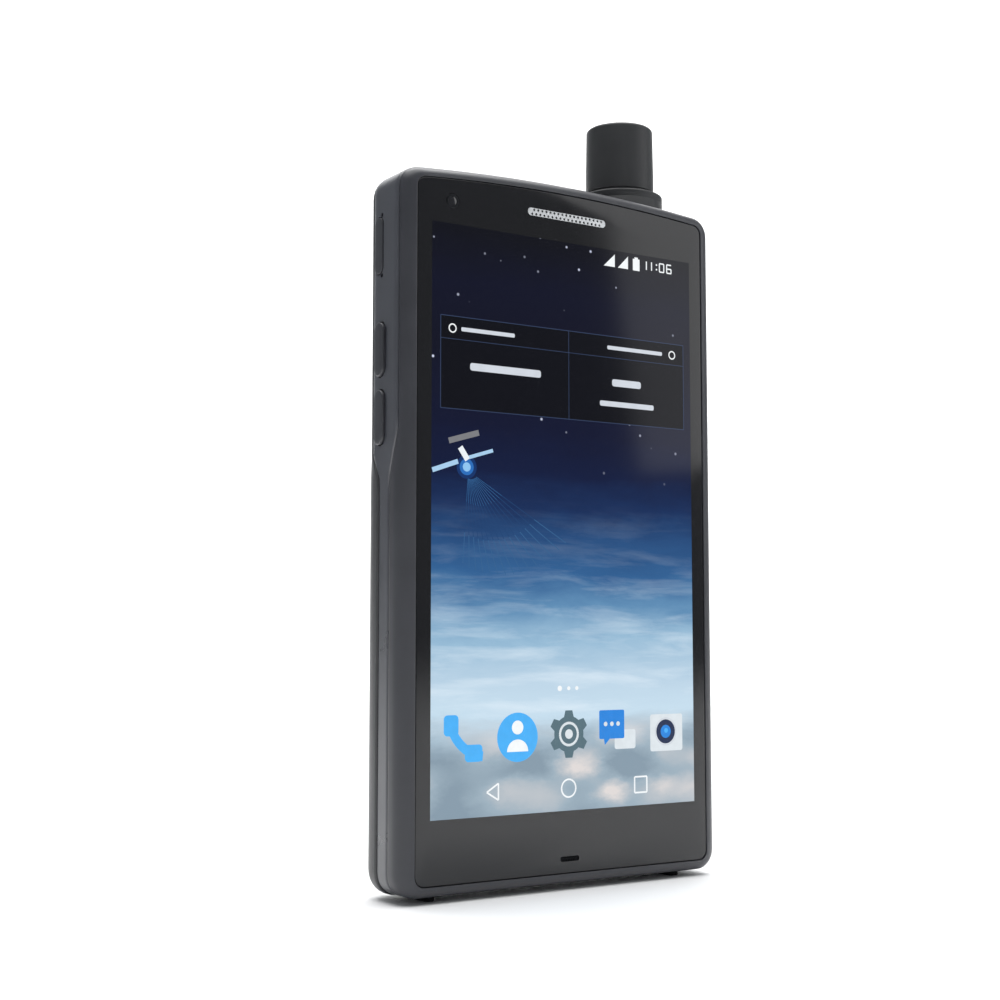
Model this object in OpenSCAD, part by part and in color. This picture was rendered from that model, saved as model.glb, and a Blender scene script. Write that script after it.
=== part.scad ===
// Handheld satellite phone with a pull-out antenna.
// Millimetres. +X is the holder's right when facing the screen, -Y is the screen side, +Z is up.
// The origin is the middle of the bounding box, on the surface that the feet stand on.
// "Depth" below is measured backwards from the plane of the cover glass.

/* [Body] */
// Width across the two sides
body_w = 78; // [78:1:84]
// Height of the arched top at its middle, above the feet's underside
body_top = 143; // [143:0.5:148]
// Thickness of the casing beside the antenna ridge
body_t = 17; // [17:0.5:18]
// Overall depth, from the glass to the crest of the antenna ridge
depth_total = 24; // [24:0.5:26]
// Radius of the arch along the top
top_arch_r = 400; // [300:10:600]
// Corner radius seen from the front
corner_r = 4.5; // [4:0.1:6]
// Rounding of the front edge along the sides
front_side_r = 3.3; // [2.5:0.1:4]
// Rounding of the front edge at the top and bottom
front_end_r = 2.2; // [2.1:0.1:3]
// Rounding of the back edge
back_r = 5; // [4:0.1:5]
// Wall of the casing
wall = 2; // [1.8:0.1:2]
// Height of the feet
foot_h = 1.2; // [1:0.1:1.5]

/* [Parting lines] */
// Depth of the front parting line below the jog
front_line_low = 5; // [4:0.1:5]
// Depth of the front parting line above the jog
front_line_high = 2.1; // [2.1:0.1:3]
// Depth of the rear parting line below the jog
rear_line_low = 8.8; // [8.6:0.1:9.5]
// Depth of the rear parting line above the jog
rear_line_high = 11.6; // [11.5:0.1:12]
// Height where the jog starts
jog_z0 = 80.6; // [78:0.2:82]
// Height where the jog ends at the rear line
jog_z1 = 85.6; // [84:0.2:87]
// How much longer the jog is at the front line
front_jog_extra = 3.8; // [0:0.2:5]

/* [Screen] */
// Lip of the casing beside the cover glass
lip_side = 3.4; // [3.2:0.1:3.6]
// Lip of the casing above and below the cover glass
lip_end = 2.2; // [2:0.1:2.4]
// Corner radius of the cover glass
glass_corner_r = 2; // [1.5:0.1:2.5]
// Thickness of the cover glass
glass_t = 0.9; // [0.7:0.1:1]
// Width of the lit screen
screen_w = 64.8; // [60:0.1:65]
// Height of the lit screen
screen_h = 115.1; // [110:0.1:115.2]
// Lower edge of the lit screen
screen_z0 = 15.7; // [15.5:0.1:17]

/* [Antenna] */
// Sideways place of the antenna
ant_x = 24.9; // [23:0.1:25]
// Depth of the antenna's axis
ant_depth = 14.6; // [14.5:0.1:15]
// Radius of the cap that the fingers pull
cap_r = 7.5; // [6.9:0.1:7.6]
// Top of the stowed cap
cap_top = 162.5; // [158:0.1:165]
// Radius of the collar and of the ridge behind it
collar_r = 9.4; // [9.4:0.1:9.6]
// Top of the collar
collar_top = 147.1; // [146:0.1:148]
// How far the antenna pulls out
ant_travel = 50; // [40:1:52]
// Radius of the sleeve that slides
sleeve_r = 6.6; // [6.5:0.05:6.7]
// Clearance of the sleeve in its bush, on the radius
slide_clearance = 0.06; // [0.03:0.01:0.1]

/* [Keys and tray] */
// How far the side keys stand out
key_proud = 0.7; // [0.5:0.1:0.8]
// Travel of a key
key_travel = 0.4; // [0.2:0.1:0.4]
// Width of a volume key
key_w = 3.6; // [3:0.1:3.8]
// Width of the low key at the top of the left side
side_key_w = 3; // [2.6:0.1:3.2]
// Length of the card tray
tray_len = 25; // [24:0.5:26]

/* [Hidden] */
$fn = 48;
ARC_STEPS = 6;
ARCH_STEPS = 16;
ARM_STEPS = 20;
ARM_H = 50;
GAP = 0.15;
OVER = 1;
side_x = body_w / 2;
bush_len = 18.3;
bush_bottom = collar_top - bush_len;
sleeve_bottom = bush_bottom - ant_travel;
sleeve_wall = 1.1;
cap_seat = 8.4;
former_r = 4.6;
former_wall = 1;
contact_z = sleeve_bottom - 7.5;
tube_r = 8;
collar_bottom = 134;
ring_r = 7.3;
arm_r0 = former_r + 0.15;
arm_r1 = arm_r0 + 0.3;
ridge_foot_z = 54;
ridge_full_z = 66;
key_depth = 8.4;
key_flange_t = 0.6;
dome_t = 0.4;
key_board_x = side_x - wall - key_flange_t - key_travel - 0.1 - dome_t;
// Each key: side of the phone, depth of its middle, lower end, upper end, width, height above the wall
VOLUME_UP = [-1, key_depth, 100.6, 111.3, key_w, key_proud];
VOLUME_DOWN = [-1, key_depth, 87.2, 98, key_w, key_proud];
SIDE_KEY = [-1, 9.2, 121, 132.3, side_key_w, 0.2];
POWER_KEY = [1, key_depth, 104, 116, key_w, key_proud];
KEYS = [VOLUME_UP, VOLUME_DOWN, SIDE_KEY, POWER_KEY];
tray_z = 37;
tray_depth = 6.9;
tray_face_z = 18;
tray_face_w = 2.6;
tray_plate_z = 15;
tray_plate_t = 1.2;
// Casing screws and board screws, as [x, z]
CASE_SCREWS = [[-32, 9], [32, 9], [32, 56], [9, 133], [-32, 133]];
BOARD_SCREWS = [[-27.5, 106.5], [31, 128], [31, 64], [-26, 20], [26, 20]];
case_screw_r = 0.8;
board_screw_r = 0.6;
boss_r = 2.2;
board_d0 = 4.4;
board_d1 = 5.2;
plate_d0 = 2.9;
plate_d1 = 3.7;
front_cam = [-27.7, 135.35];
rear_cam = [-6, 121];
flash = [-6, 108];
earpiece_z = 136.05;
earpiece_w = 19.7;
earpiece_h = 1.7;
mic_z = 6.25;
mic_w = 4.6;
mic_h = 1;
jack_x = -18;
jack_depth = 7.7;
jack_bore_r = 1.8;
jack_bottom = 128;
jack_top = 142.2;
usb_depth = 6.8;
speaker_x = -12;
speaker_z = 13.5;
foot_x = 30;
tape_t = 0.2;
battery_z = 26;

// Depth to the Y coordinate
function y(depth) = depth - depth_total / 2;

// Depth of the rear parting line at height z, away from the jog
function rear_line(z) = z > jog_z1 ? rear_line_high : rear_line_low;

function arc(centre, r, a0, a1, steps) =
    [for (i = [0:steps]) centre + r * [cos(a0 + (a1 - a0) * i / steps), sin(a0 + (a1 - a0) * i / steps)]];

function arch(centre, r, a0, a1, steps) =
    [for (i = [1:steps - 1]) centre + r * [cos(a0 + (a1 - a0) * i / steps), sin(a0 + (a1 - a0) * i / steps)]];

// Arched outline seen from the front, drawn in by ex at the sides and ez at the ends, with corner radius r
function arched(ex, ez, r) =
    let (cx = side_x - ex - r,
        phi = acos(cx / (top_arch_r - ez - r)),
        arch_z = body_top - top_arch_r,
        cz = arch_z + (top_arch_r - ez - r) * sin(phi),
        bz = foot_h + ez + r)
    concat(arc([cx, bz], r, 270, 360, ARC_STEPS),
        arc([cx, cz], r, 0, phi, ARC_STEPS),
        arch([0, arch_z], top_arch_r - ez, phi, 180 - phi, ARCH_STEPS),
        arc([-cx, cz], r, 180 - phi, 180, ARC_STEPS),
        arc([-cx, bz], r, 180, 270, ARC_STEPS));

// The casing's outline, drawn in by e all round
function outline(e) = arched(e, e, corner_r - e);

// Rectangle a0..a1 by b0..b1 whose corners have radius r0 at b0 and r1 at b1
function rounded(a0, a1, b0, b1, r0, r1) =
    concat(arc([a1 - r0, b0 + r0], r0, 270, 360, ARC_STEPS),
        arc([a1 - r1, b1 - r1], r1, 0, 90, ARC_STEPS),
        arc([a0 + r1, b1 - r1], r1, 90, 180, ARC_STEPS),
        arc([a0 + r0, b0 + r0], r0, 180, 270, ARC_STEPS));

// Extrudes an (x, z) shape between two depths
module slab_xz(d0, d1) {
    translate([0, y(d1), 0]) rotate([90, 0, 0]) linear_extrude(d1 - d0) children();
}

// Extrudes a (y, z) shape between two x values
module slab_yz(x0, x1) {
    translate([x0, 0, 0]) rotate([90, 0, 90]) linear_extrude(x1 - x0) children();
}

module block(x0, x1, d0, d1, z0, z1) {
    translate([x0, y(d0), z0]) cube([x1 - x0, d1 - d0, z1 - z0]);
}

// Cylinder along the depth
module peg(x, z, r, d0, d1) {
    translate([x, y(d1), z]) rotate([90, 0, 0]) cylinder(r = r, h = d1 - d0);
}

// Cylinder on the antenna's axis
module ant_cyl(r, z0, z1) {
    translate([ant_x, y(ant_depth), z0]) cylinder(r = r, h = z1 - z0);
}

module ant_ring(r_out, r_in, z0, z1) {
    difference() {
        ant_cyl(r_out, z0, z1);
        ant_cyl(r_in, z0 - OVER, z1 + OVER);
    }
}

// Slot shape with round ends, long along its first axis
module stadium(len, w) {
    square([len - w, w], center = true);
    for (s = [-1, 1]) translate([s * (len - w) / 2, 0]) circle(r = w / 2);
}

// Casing shape, drawn in by e
module body(e) {
    intersection() {
        slab_xz(e, body_t - e) polygon(outline(e));
        linear_extrude(body_top) polygon(rounded(e - side_x, side_x - e, y(e), y(body_t - e),
            front_side_r - e, back_r - e));
        slab_yz(-side_x, side_x) polygon([for (p = rounded(foot_h + e, body_top - e, y(e), y(body_t - e),
            front_end_r - e, back_r - e)) [p[1], p[0]]]);
    }
}

// Space between two jogged parting lines, each given as [depth below, depth above, top of its jog]
module between(near, far) {
    slab_yz(-side_x - OVER, side_x + OVER) polygon([[y(near[0]), 0], [y(near[0]), jog_z0],
        [y(near[1]), near[2]], [y(near[1]), cap_top], [y(far[1]), cap_top], [y(far[1]), far[2]],
        [y(far[0]), jog_z0], [y(far[0]), 0]]);
}

FRONT_LIMIT = [-OVER, -OVER, jog_z1];
FRONT_LINE = [front_line_low, front_line_high, jog_z1 + front_jog_extra];
REAR_LINE = [rear_line_low, rear_line_high, jog_z1];
REAR_LIMIT = [depth_total + OVER, depth_total + OVER, jog_z1];

// Holes that the side keys, the card tray, the socket and the jack need in the frame
module frame_openings() {
    for (k = KEYS) key_shape(k, GAP, side_x - wall - OVER, side_x + OVER);
    tray_slot();
    translate([jack_x, y(jack_depth), body_top - wall - OVER * 2]) cylinder(r = 3.05, h = 6);
    translate([0, y(usb_depth), 0]) linear_extrude(foot_h + wall + OVER) stadium(9.3, 3.5);
    ant_cyl(collar_r + 0.05, collar_bottom, cap_top);
}

module tray_slot() {
    translate([side_x - wall - OVER, y(tray_depth), tray_z]) rotate([90, 0, 90])
        linear_extrude(wall + OVER * 2) square([2.2, 16.4], center = true);
    translate([side_x - 0.9, y(tray_depth), tray_z]) rotate([90, 0, 90])
        linear_extrude(OVER * 2) square([tray_face_w + 2 * GAP, tray_face_z + 2 * GAP], center = true);
}

// Stadium of a key k grown by e, between two distances from the middle plane
module key_shape(k, e, x0, x1) {
    mirror([k[0] < 0 ? 1 : 0, 0, 0]) slab_yz(x0, x1) translate([y(k[1]), (k[2] + k[3]) / 2]) rotate(90)
        stadium(k[3] - k[2] + 2 * e, k[4] + 2 * e);
}

module key(k, tint) {
    color(tint) {
        key_shape(k, 0, side_x - wall - 0.1, side_x + k[5]);
        key_shape(k, 0.45, side_x - wall - 0.1 - key_flange_t, side_x - wall - 0.1);
    }
}

module ridge_section() {
    translate([ant_x, y(ant_depth)]) {
        circle(r = collar_r);
        polygon([[-collar_r - 2, 1.9], [collar_r + 2, 1.9], [collar_r * cos(45), collar_r * sin(45)],
            [-collar_r * cos(45), collar_r * sin(45)]]);
    }
}

// Ridge down the back that covers the stowed antenna
module ridge() {
    intersection() {
        translate([0, 0, ridge_foot_z]) linear_extrude(body_top - ridge_foot_z) ridge_section();
        slab_yz(0, side_x) polygon([[y(body_t - wall), ridge_foot_z],
            [y(depth_total + 0.1), ridge_full_z], [y(depth_total + 0.1), 137], [y(body_t - wall), 142]]);
    }
}

module front_housing() {
    color("#2b2c2f") difference() {
        intersection() {
            body(0);
            between(FRONT_LIMIT, FRONT_LINE);
        }
        slab_xz(-OVER, glass_t + tape_t) polygon(arched(lip_side - GAP, lip_end - GAP, glass_corner_r + GAP));
        block(-screen_w / 2 - 1.2, screen_w / 2 + 1.2, 0, front_line_low, screen_z0 - 1.9,
            screen_z0 + screen_h + 2.3);
        body(wall);
        block(-7.2, 7.2, 0, front_line_low, 133.2, 139.2);
        block(front_cam[0] - 3, front_cam[0] + 3, 0, front_line_low, 132.3, 138.4);
        block(-2.4, 2.4, 0, front_line_low, 4.7, 8);
    }
}

module mid_frame() {
    color("#3c3d42") difference() {
        intersection() {
            body(0);
            between(FRONT_LINE, REAR_LINE);
        }
        body(wall);
        frame_openings();
    }
}

module rear_cover() {
    color("#232427") difference() {
        union() {
            difference() {
                intersection() {
                    union() {
                        body(0);
                        ridge();
                    }
                    between(REAR_LINE, REAR_LIMIT);
                }
                body(wall);
            }
            for (s = CASE_SCREWS) peg(s[0], s[1], boss_r, rear_line(s[1]) + 0.05, body_t - wall + 0.2);
        }
        ant_cyl(tube_r + 0.05, sleeve_bottom - 8, collar_bottom + OVER);
        ant_cyl(collar_r + 0.05, collar_bottom, cap_top);
        for (s = CASE_SCREWS) {
            peg(s[0], s[1], case_screw_r + 0.05, rear_line(s[1]) - OVER, body_t);
            peg(s[0], s[1], 1.6, body_t - 1, body_t + OVER);
        }
        peg(rear_cam[0], rear_cam[1], 5.25, body_t - wall - OVER, body_t + OVER);
        peg(flash[0], flash[1], 2.05, body_t - wall - OVER, body_t + OVER);
        slab_xz(body_t - 0.8, body_t + OVER) translate([speaker_x, speaker_z]) stadium(24.2, 4.2);
        slab_xz(body_t - wall - OVER, body_t) translate([speaker_x, speaker_z]) stadium(21, 2.6);
    }
}

module housing_gasket() {
    lip = 0.5;
    color("#121212") difference() {
        intersection() {
            body(wall);
            between(REAR_LINE - [0.3, 0.3, 0], REAR_LINE + [0.9, 0.9, 0]);
        }
        body(wall + lip);
        ant_cyl(collar_r + 0.1, collar_bottom - 2, cap_top);
        ant_cyl(tube_r + 0.1, 0, cap_top);
    }
}

module cover_glass() {
    color([0.03, 0.03, 0.05, 1]) difference() {
        slab_xz(0, glass_t) polygon(arched(lip_side, lip_end, glass_corner_r));
        slab_xz(-OVER, glass_t + OVER) translate([0, earpiece_z]) stadium(earpiece_w, earpiece_h);
        slab_xz(-OVER, glass_t + OVER) translate([0, mic_z]) stadium(mic_w, mic_h);
        peg(front_cam[0], front_cam[1], 1.5, -OVER, glass_t + OVER);
    }
}

module glass_adhesive() {
    color("#1a1a1a") slab_xz(glass_t, glass_t + tape_t) difference() {
        polygon(arched(lip_side + 0.4, lip_end + 0.4, glass_corner_r - 0.4));
        translate([-screen_w / 2 - 1.2, screen_z0 - 1.9]) square([screen_w + 2.4, screen_h + 8.4]);
        translate([front_cam[0] - 2.9, 130]) square([5.8, 8.4]);
        translate([-2.4, 4.7]) square([4.8, 3.3]);
    }
}

module display_panel() {
    color("#0a1a50") slab_xz(glass_t, 2.7) polygon(rounded(-screen_w / 2 - 0.8, screen_w / 2 + 0.8,
        screen_z0 - 1.5, screen_z0 + screen_h + 0.9, 1, 1));
}

module chassis_plate() {
    color("#8a8d90") difference() {
        union() {
            slab_xz(plate_d0, plate_d1) polygon(outline(wall + 0.25));
            for (s = CASE_SCREWS) peg(s[0], s[1], boss_r, plate_d0, rear_line(s[1]));
            for (s = BOARD_SCREWS) peg(s[0], s[1], 1.6, plate_d0, board_d0);
        }
        for (s = CASE_SCREWS) peg(s[0], s[1], case_screw_r + 0.05, 5, rear_line(s[1]) + OVER);
        for (s = BOARD_SCREWS) peg(s[0], s[1], board_screw_r + 0.05, plate_d0 - OVER, board_d0 + OVER);
        block(front_cam[0] - 3, front_cam[0] + 3, 0, board_d0, 132.3, 138.4);
    }
}

module earpiece_mesh() {
    pitch = 1.05;
    color("#b9bcc0") slab_xz(0.1, 0.6) difference() {
        translate([0, earpiece_z]) stadium(earpiece_w - 0.1, earpiece_h - 0.1);
        for (i = [-8:8], s = [-1, 1])
            translate([i * pitch, earpiece_z + s * 0.36]) circle(r = 0.25, $fn = 16);
    }
}

module earpiece_receiver() {
    color("#55565a") block(-6.5, 6.5, 1.2, 2.8, 133.6, 138.8);
}

module front_camera_lens() {
    color("#33343a") difference() {
        peg(front_cam[0], front_cam[1], 1.45, 0.05, 0.85);
        peg(front_cam[0], front_cam[1], 0.7, -OVER, 0.35);
    }
}

module front_camera_module() {
    color("#1d1e22") {
        block(front_cam[0] - 2.8, front_cam[0] + 2.8, 1.6, 4.2, 132.5, 138.2);
        peg(front_cam[0], front_cam[1], 1.3, 0.95, 1.7);
    }
}

module microphone_mesh() {
    color("#3a3b3e") slab_xz(0.25, 0.6) difference() {
        translate([0, mic_z]) stadium(mic_w - 0.1, mic_h - 0.1);
        for (i = [-2:2]) translate([i * 0.75, mic_z]) circle(r = 0.2, $fn = 16);
    }
}

module microphone() {
    color("#c9b37a") block(-2, 2, 1.2, 2.3, 4.9, 7.8);
}

module antenna_cap() {
    color("#2e2f31") translate([ant_x, y(ant_depth), 0]) rotate_extrude() {
        difference() {
            polygon([[0, collar_top + 0.1], [cap_r, collar_top + 0.1], [cap_r, cap_top - 0.9],
                [cap_r - 0.3, cap_top - 0.25], [cap_r - 0.9, cap_top], [0, cap_top]]);
            translate([0, collar_top]) square([sleeve_r + 0.02, cap_seat + 0.1]);
        }
    }
}

module antenna_sleeve() {
    color("#1c1d1f") ant_ring(sleeve_r, sleeve_r - sleeve_wall, sleeve_bottom, collar_top + cap_seat);
}

// Corners of one arm's section at step i of its half turn round the former
function arm_ring(start, i) =
    let (a = start - 180 * i / ARM_STEPS, h = ARM_H * i / ARM_STEPS)
    [for (c = [[arm_r0, -7], [arm_r1, -7], [arm_r1, 7], [arm_r0, 7]])
        [c[0] * cos(a + c[1]), c[0] * sin(a + c[1]), h]];

// The two triangles of side j between ring i and the next
function arm_side(i, j) =
    let (a = i * 4 + j, b = i * 4 + (j + 1) % 4)
    [[a, a + 4, b + 4], [a, b + 4, b]];

// Four thin arms wound half a turn round the former
module antenna_helix() {
    last = ARM_STEPS * 4;
    color("#c77b45") translate([ant_x, y(ant_depth), sleeve_bottom + 12])
        for (start = [0:90:270]) polyhedron(
            points = [for (i = [0:ARM_STEPS]) each arm_ring(start, i)],
            faces = concat([[0, 1, 2], [0, 2, 3], [last, last + 2, last + 1], [last, last + 3, last + 2]],
                [for (i = [0:ARM_STEPS - 1], j = [0:3]) each arm_side(i, j)]));
}

module antenna_former() {
    color("#e6e2d4") ant_ring(former_r, former_r - former_wall, sleeve_bottom + 3, collar_top + 6);
}

module antenna_stop_ring() {
    color("#b08d4f") difference() {
        union() {
            ant_cyl(ring_r, sleeve_bottom - 2, sleeve_bottom);
            ant_cyl(sleeve_r - 1.15, sleeve_bottom - 0.1, sleeve_bottom + 3);
        }
        ant_cyl(3, sleeve_bottom - 3, sleeve_bottom + 4);
    }
}

module antenna_guide_tube() {
    color("#4a4b4f") difference() {
        ant_cyl(tube_r, sleeve_bottom - 6, bush_bottom);
        ant_cyl(ring_r + 0.2, sleeve_bottom - 4.5, bush_bottom + OVER);
    }
}

module antenna_bush() {
    color("#6b6c70") difference() {
        ant_cyl(tube_r, bush_bottom, collar_top - 0.1);
        ant_cyl(sleeve_r + slide_clearance, bush_bottom - OVER, collar_top + OVER);
        ant_cyl(sleeve_r + 1, collar_top - 3.6, collar_top - 2.4);
    }
}

module antenna_o_ring() {
    color("#0f0f0f") translate([ant_x, y(ant_depth), collar_top - 3]) rotate_extrude()
        translate([sleeve_r + 0.52, 0]) circle(r = 0.46);
}

module antenna_collar() {
    color("#2a2b2e") translate([ant_x, y(ant_depth), 0]) rotate_extrude()
        polygon([[tube_r + 0.03, collar_bottom], [collar_r, collar_bottom], [collar_r, collar_top - 0.5],
            [collar_r - 0.5, collar_top], [tube_r + 0.03, collar_top]]);
}

module antenna_feed_contact() {
    color("#c9a24a") translate([0, 0, contact_z]) {
        block(ant_x - 2.5, ant_x + 2.5, 11, 17, 0, 1.4);
        block(ant_x - 1.5, ant_x + 1.5, board_d1, 11, 0, 0.6);
    }
}

// Thin coaxial lead: out from the board, across, and up to the underside of the contact
module antenna_coax() {
    r = 0.55;
    low_z = 63;
    depth = 9.5;
    run = 9.5;
    color("#8c5a2c") {
        translate([ant_x, y(depth), low_z]) rotate([0, -90, 0]) cylinder(r = r, h = run);
        translate([ant_x, y(depth), low_z]) sphere(r = r);
        translate([ant_x, y(depth), low_z]) cylinder(r = r, h = contact_z - low_z);
        translate([ant_x - run, y(depth), low_z]) sphere(r = r);
        peg(ant_x - run, low_z, r, board_d1, depth);
    }
}

module volume_up_key() { key(VOLUME_UP, "#3d3e43"); }
module volume_down_key() { key(VOLUME_DOWN, "#3d3e43"); }
module side_key() { key(SIDE_KEY, "#333438"); }
module power_key() { key(POWER_KEY, "#3d3e43"); }

module left_key_board() {
    color("#7a5a22") block(-key_board_x, -key_board_x + 0.5, 6, 10.8, 86, 132);
}

module right_key_board() {
    color("#7a5a22") block(key_board_x - 0.5, key_board_x, 6, 10.8, 103, 117);
}

module dome_switches() {
    color("#c9ccd0") for (k = KEYS) mirror([k[0] < 0 ? 1 : 0, 0, 0])
        slab_yz(key_board_x, key_board_x + dome_t) translate([y(k[1]), (k[2] + k[3]) / 2]) circle(r = 1.6);
}

module sim_tray() {
    inner = side_x - 0.8 - tray_len;
    color("#34353a") difference() {
        union() {
            slab_yz(side_x - 0.8, side_x) translate([y(tray_depth), tray_z])
                square([tray_face_w, tray_face_z], center = true);
            slab_yz(inner, side_x - 0.8) translate([y(tray_depth), tray_z])
                square([tray_plate_t, tray_plate_z], center = true);
        }
        for (x = [inner + 1.4, inner + 12])
            block(x, x + 9.2, tray_depth - 0.1, tray_depth + 1, tray_z - 6.4, tray_z + 6.4);
        slab_yz(side_x - 0.5, side_x + OVER) translate([y(tray_depth), tray_z + 7]) circle(r = 0.45);
    }
}

module tray_seal() {
    color("#7c2020") slab_yz(side_x - 1.7, side_x - 0.8) translate([y(tray_depth), tray_z]) difference() {
        square([2, 16.2], center = true);
        square([tray_plate_t, tray_plate_z], center = true);
    }
}

// Two nano cards, 12.3 by 8.8 by 0.67, in the tray's pockets
module sim_cards() {
    inner = side_x - 0.8 - tray_len;
    color("#d9d9d9") for (x = [inner + 1.6, inner + 12.2])
        block(x, x + 8.8, tray_depth - 0.1, tray_depth + 0.57, tray_z - 6.15, tray_z + 6.15);
}

module sim_socket() {
    color("#b5b8bc") difference() {
        block(12.8, side_x - wall - 0.6, board_d1 + 0.3, 8.5, tray_z - 8.4, tray_z + 8.4);
        block(13.2, side_x, tray_depth - 0.9, tray_depth + 1, tray_z - 7.8, tray_z + 7.8);
    }
}

module main_board() {
    color("#1f4d34") difference() {
        slab_xz(board_d0, board_d1) polygon([[-29.5, 103], [13.5, 103], [13.5, 60], [34, 60], [34, 137],
            [-22, 137], [-22, 131], [-29.5, 131]]);
        peg(9, 133, boss_r + 0.3, board_d0 - OVER, board_d1 + OVER);
        for (s = BOARD_SCREWS) peg(s[0], s[1], board_screw_r + 0.05, board_d0 - OVER, board_d1 + OVER);
    }
}

module processor_shield() {
    color("#c4c7cb") block(-24, -1, board_d1, 6.8, 104.5, 125);
}

module satellite_modem_shield() {
    color("#c4c7cb") block(15, 29, board_d1, 6.3, 76, 100);
}

module lower_board() {
    color("#1f4d34") difference() {
        block(-29, 29, board_d0, board_d1, 4.2, 24);
        for (s = BOARD_SCREWS) peg(s[0], s[1], board_screw_r + 0.05, board_d0 - OVER, board_d1 + OVER);
    }
}

module board_flex() {
    color("#b5651d") block(14.2, 18, board_d1, board_d1 + 0.15, 18.5, 62);
}

module usb_c_shell() {
    color("#b9bcc0") difference() {
        translate([0, y(usb_depth), foot_h + 0.3]) linear_extrude(7.6) stadium(8.94, 3.2);
        translate([0, y(usb_depth), foot_h - OVER]) linear_extrude(7.6) stadium(8.34, 2.6);
    }
}

module usb_c_tongue() {
    color("#17181a") {
        block(-3.35, 3.35, usb_depth - 0.35, usb_depth + 0.35, foot_h + 1.1, foot_h + 6.6);
    }
}

module headset_jack() {
    color("#1b1c1e") difference() {
        union() {
            block(jack_x - 3.2, jack_x + 3.2, board_d1, 10.2, jack_bottom - 1, body_top - wall - 0.9);
                translate([jack_x, y(jack_depth), body_top - wall - OVER])
                cylinder(r = 3, h = jack_top - body_top + wall + OVER);
        }
        translate([jack_x, y(jack_depth), jack_bottom]) cylinder(r = jack_bore_r, h = 20);
    }
}

module vibration_motor() {
    color("#a9acb0") peg(17.5, 12, 5, board_d1, board_d1 + 2.7);
}

module loudspeaker() {
    color("#2f3034") block(speaker_x - 9, speaker_x + 9, 9.8, 14.6, speaker_z - 6.5, speaker_z + 6.5);
}

module loudspeaker_mesh() {
    pitch = 1.6;
    color("#55565a") slab_xz(body_t - 0.8, body_t - 0.3) difference() {
        translate([speaker_x, speaker_z]) stadium(24, 4);
        for (i = [-6:6], s = [-1, 1])
            translate([speaker_x + i * pitch, speaker_z + s * 0.7]) circle(r = 0.45, $fn = 16);
    }
}

module battery_pack() {
    color("#55585c") translate([0, 0, battery_z]) linear_extrude(74)
        polygon(rounded(-33.4, 12.4, y(6.4), y(13.8), 1, 1));
}

module battery_connector() {
    color("#e0dccb") block(-14, -6, board_d1, 6.4, 100.6, 103.9);
}

module rear_camera_module() {
    color("#1d1e22") {
        block(rear_cam[0] - 4.3, rear_cam[0] + 4.3, 9.6, 14.4, rear_cam[1] - 4.3, rear_cam[1] + 4.3);
        peg(rear_cam[0], rear_cam[1], 3.4, 14.4, 16);
    }
}

module rear_camera_trim() {
    color("#6f7276") difference() {
        peg(rear_cam[0], rear_cam[1], 5.2, body_t - 1.6, body_t + 0.4);
        peg(rear_cam[0], rear_cam[1], 4.25, body_t - 0.9, body_t + OVER);
        peg(rear_cam[0], rear_cam[1], 3.5, body_t - wall, body_t);
    }
}

module rear_lens_cover() {
    color([0.1, 0.1, 0.13, 1]) peg(rear_cam[0], rear_cam[1], 4.2, body_t - 0.85, body_t - 0.05);
}

module flash_lens() {
    color("#e8e2b8") peg(flash[0], flash[1], 2, body_t - 1.4, body_t - 0.1);
}

module housing_screws() {
    color("#5c5d60") for (s = CASE_SCREWS) difference() {
        union() {
            peg(s[0], s[1], case_screw_r, 5.2, body_t - 1);
            peg(s[0], s[1], 1.5, body_t - 1, body_t - 0.2);
        }
        translate([s[0], y(body_t), s[1]]) rotate([90, 0, 0]) cylinder(r = 0.7, h = 0.7, $fn = 6);
    }
}

module board_screws() {
    color("#9a9da1") for (s = BOARD_SCREWS) {
        peg(s[0], s[1], board_screw_r, plate_d0 + 0.1, board_d1);
        peg(s[0], s[1], 1.1, board_d1, board_d1 + 0.6);
    }
}

module bottom_feet() {
    color("#18191b") for (s = [-1, 1]) linear_extrude(foot_h)
        polygon(rounded(s * foot_x - 1.2, s * foot_x + 1.2, y(3.6), y(11.8), 1, 1));
}

front_housing();
mid_frame();
rear_cover();
housing_gasket();
cover_glass();
glass_adhesive();
display_panel();
chassis_plate();
earpiece_mesh();
earpiece_receiver();
front_camera_lens();
front_camera_module();
microphone_mesh();
microphone();
antenna_cap();
antenna_sleeve();
antenna_helix();
antenna_former();
antenna_stop_ring();
antenna_guide_tube();
antenna_bush();
antenna_o_ring();
antenna_collar();
antenna_feed_contact();
antenna_coax();
volume_up_key();
volume_down_key();
side_key();
power_key();
left_key_board();
right_key_board();
dome_switches();
sim_tray();
tray_seal();
sim_cards();
sim_socket();
main_board();
processor_shield();
satellite_modem_shield();
lower_board();
board_flex();
usb_c_shell();
usb_c_tongue();
headset_jack();
vibration_motor();
loudspeaker();
loudspeaker_mesh();
battery_pack();
battery_connector();
rear_camera_module();
rear_camera_trim();
rear_lens_cover();
flash_lens();
housing_screws();
board_screws();
bottom_feet();
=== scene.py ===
"""Looks of a handheld satellite phone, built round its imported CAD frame.

Lengths in the code are millimetres in the frame's own axes: +X is right when facing the screen,
-Y is out of the screen and +Z is up. "Depth" is measured backwards from the plane of the glass.
"""

import math

import bmesh
import bpy
from mathutils import Matrix, Vector


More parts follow.
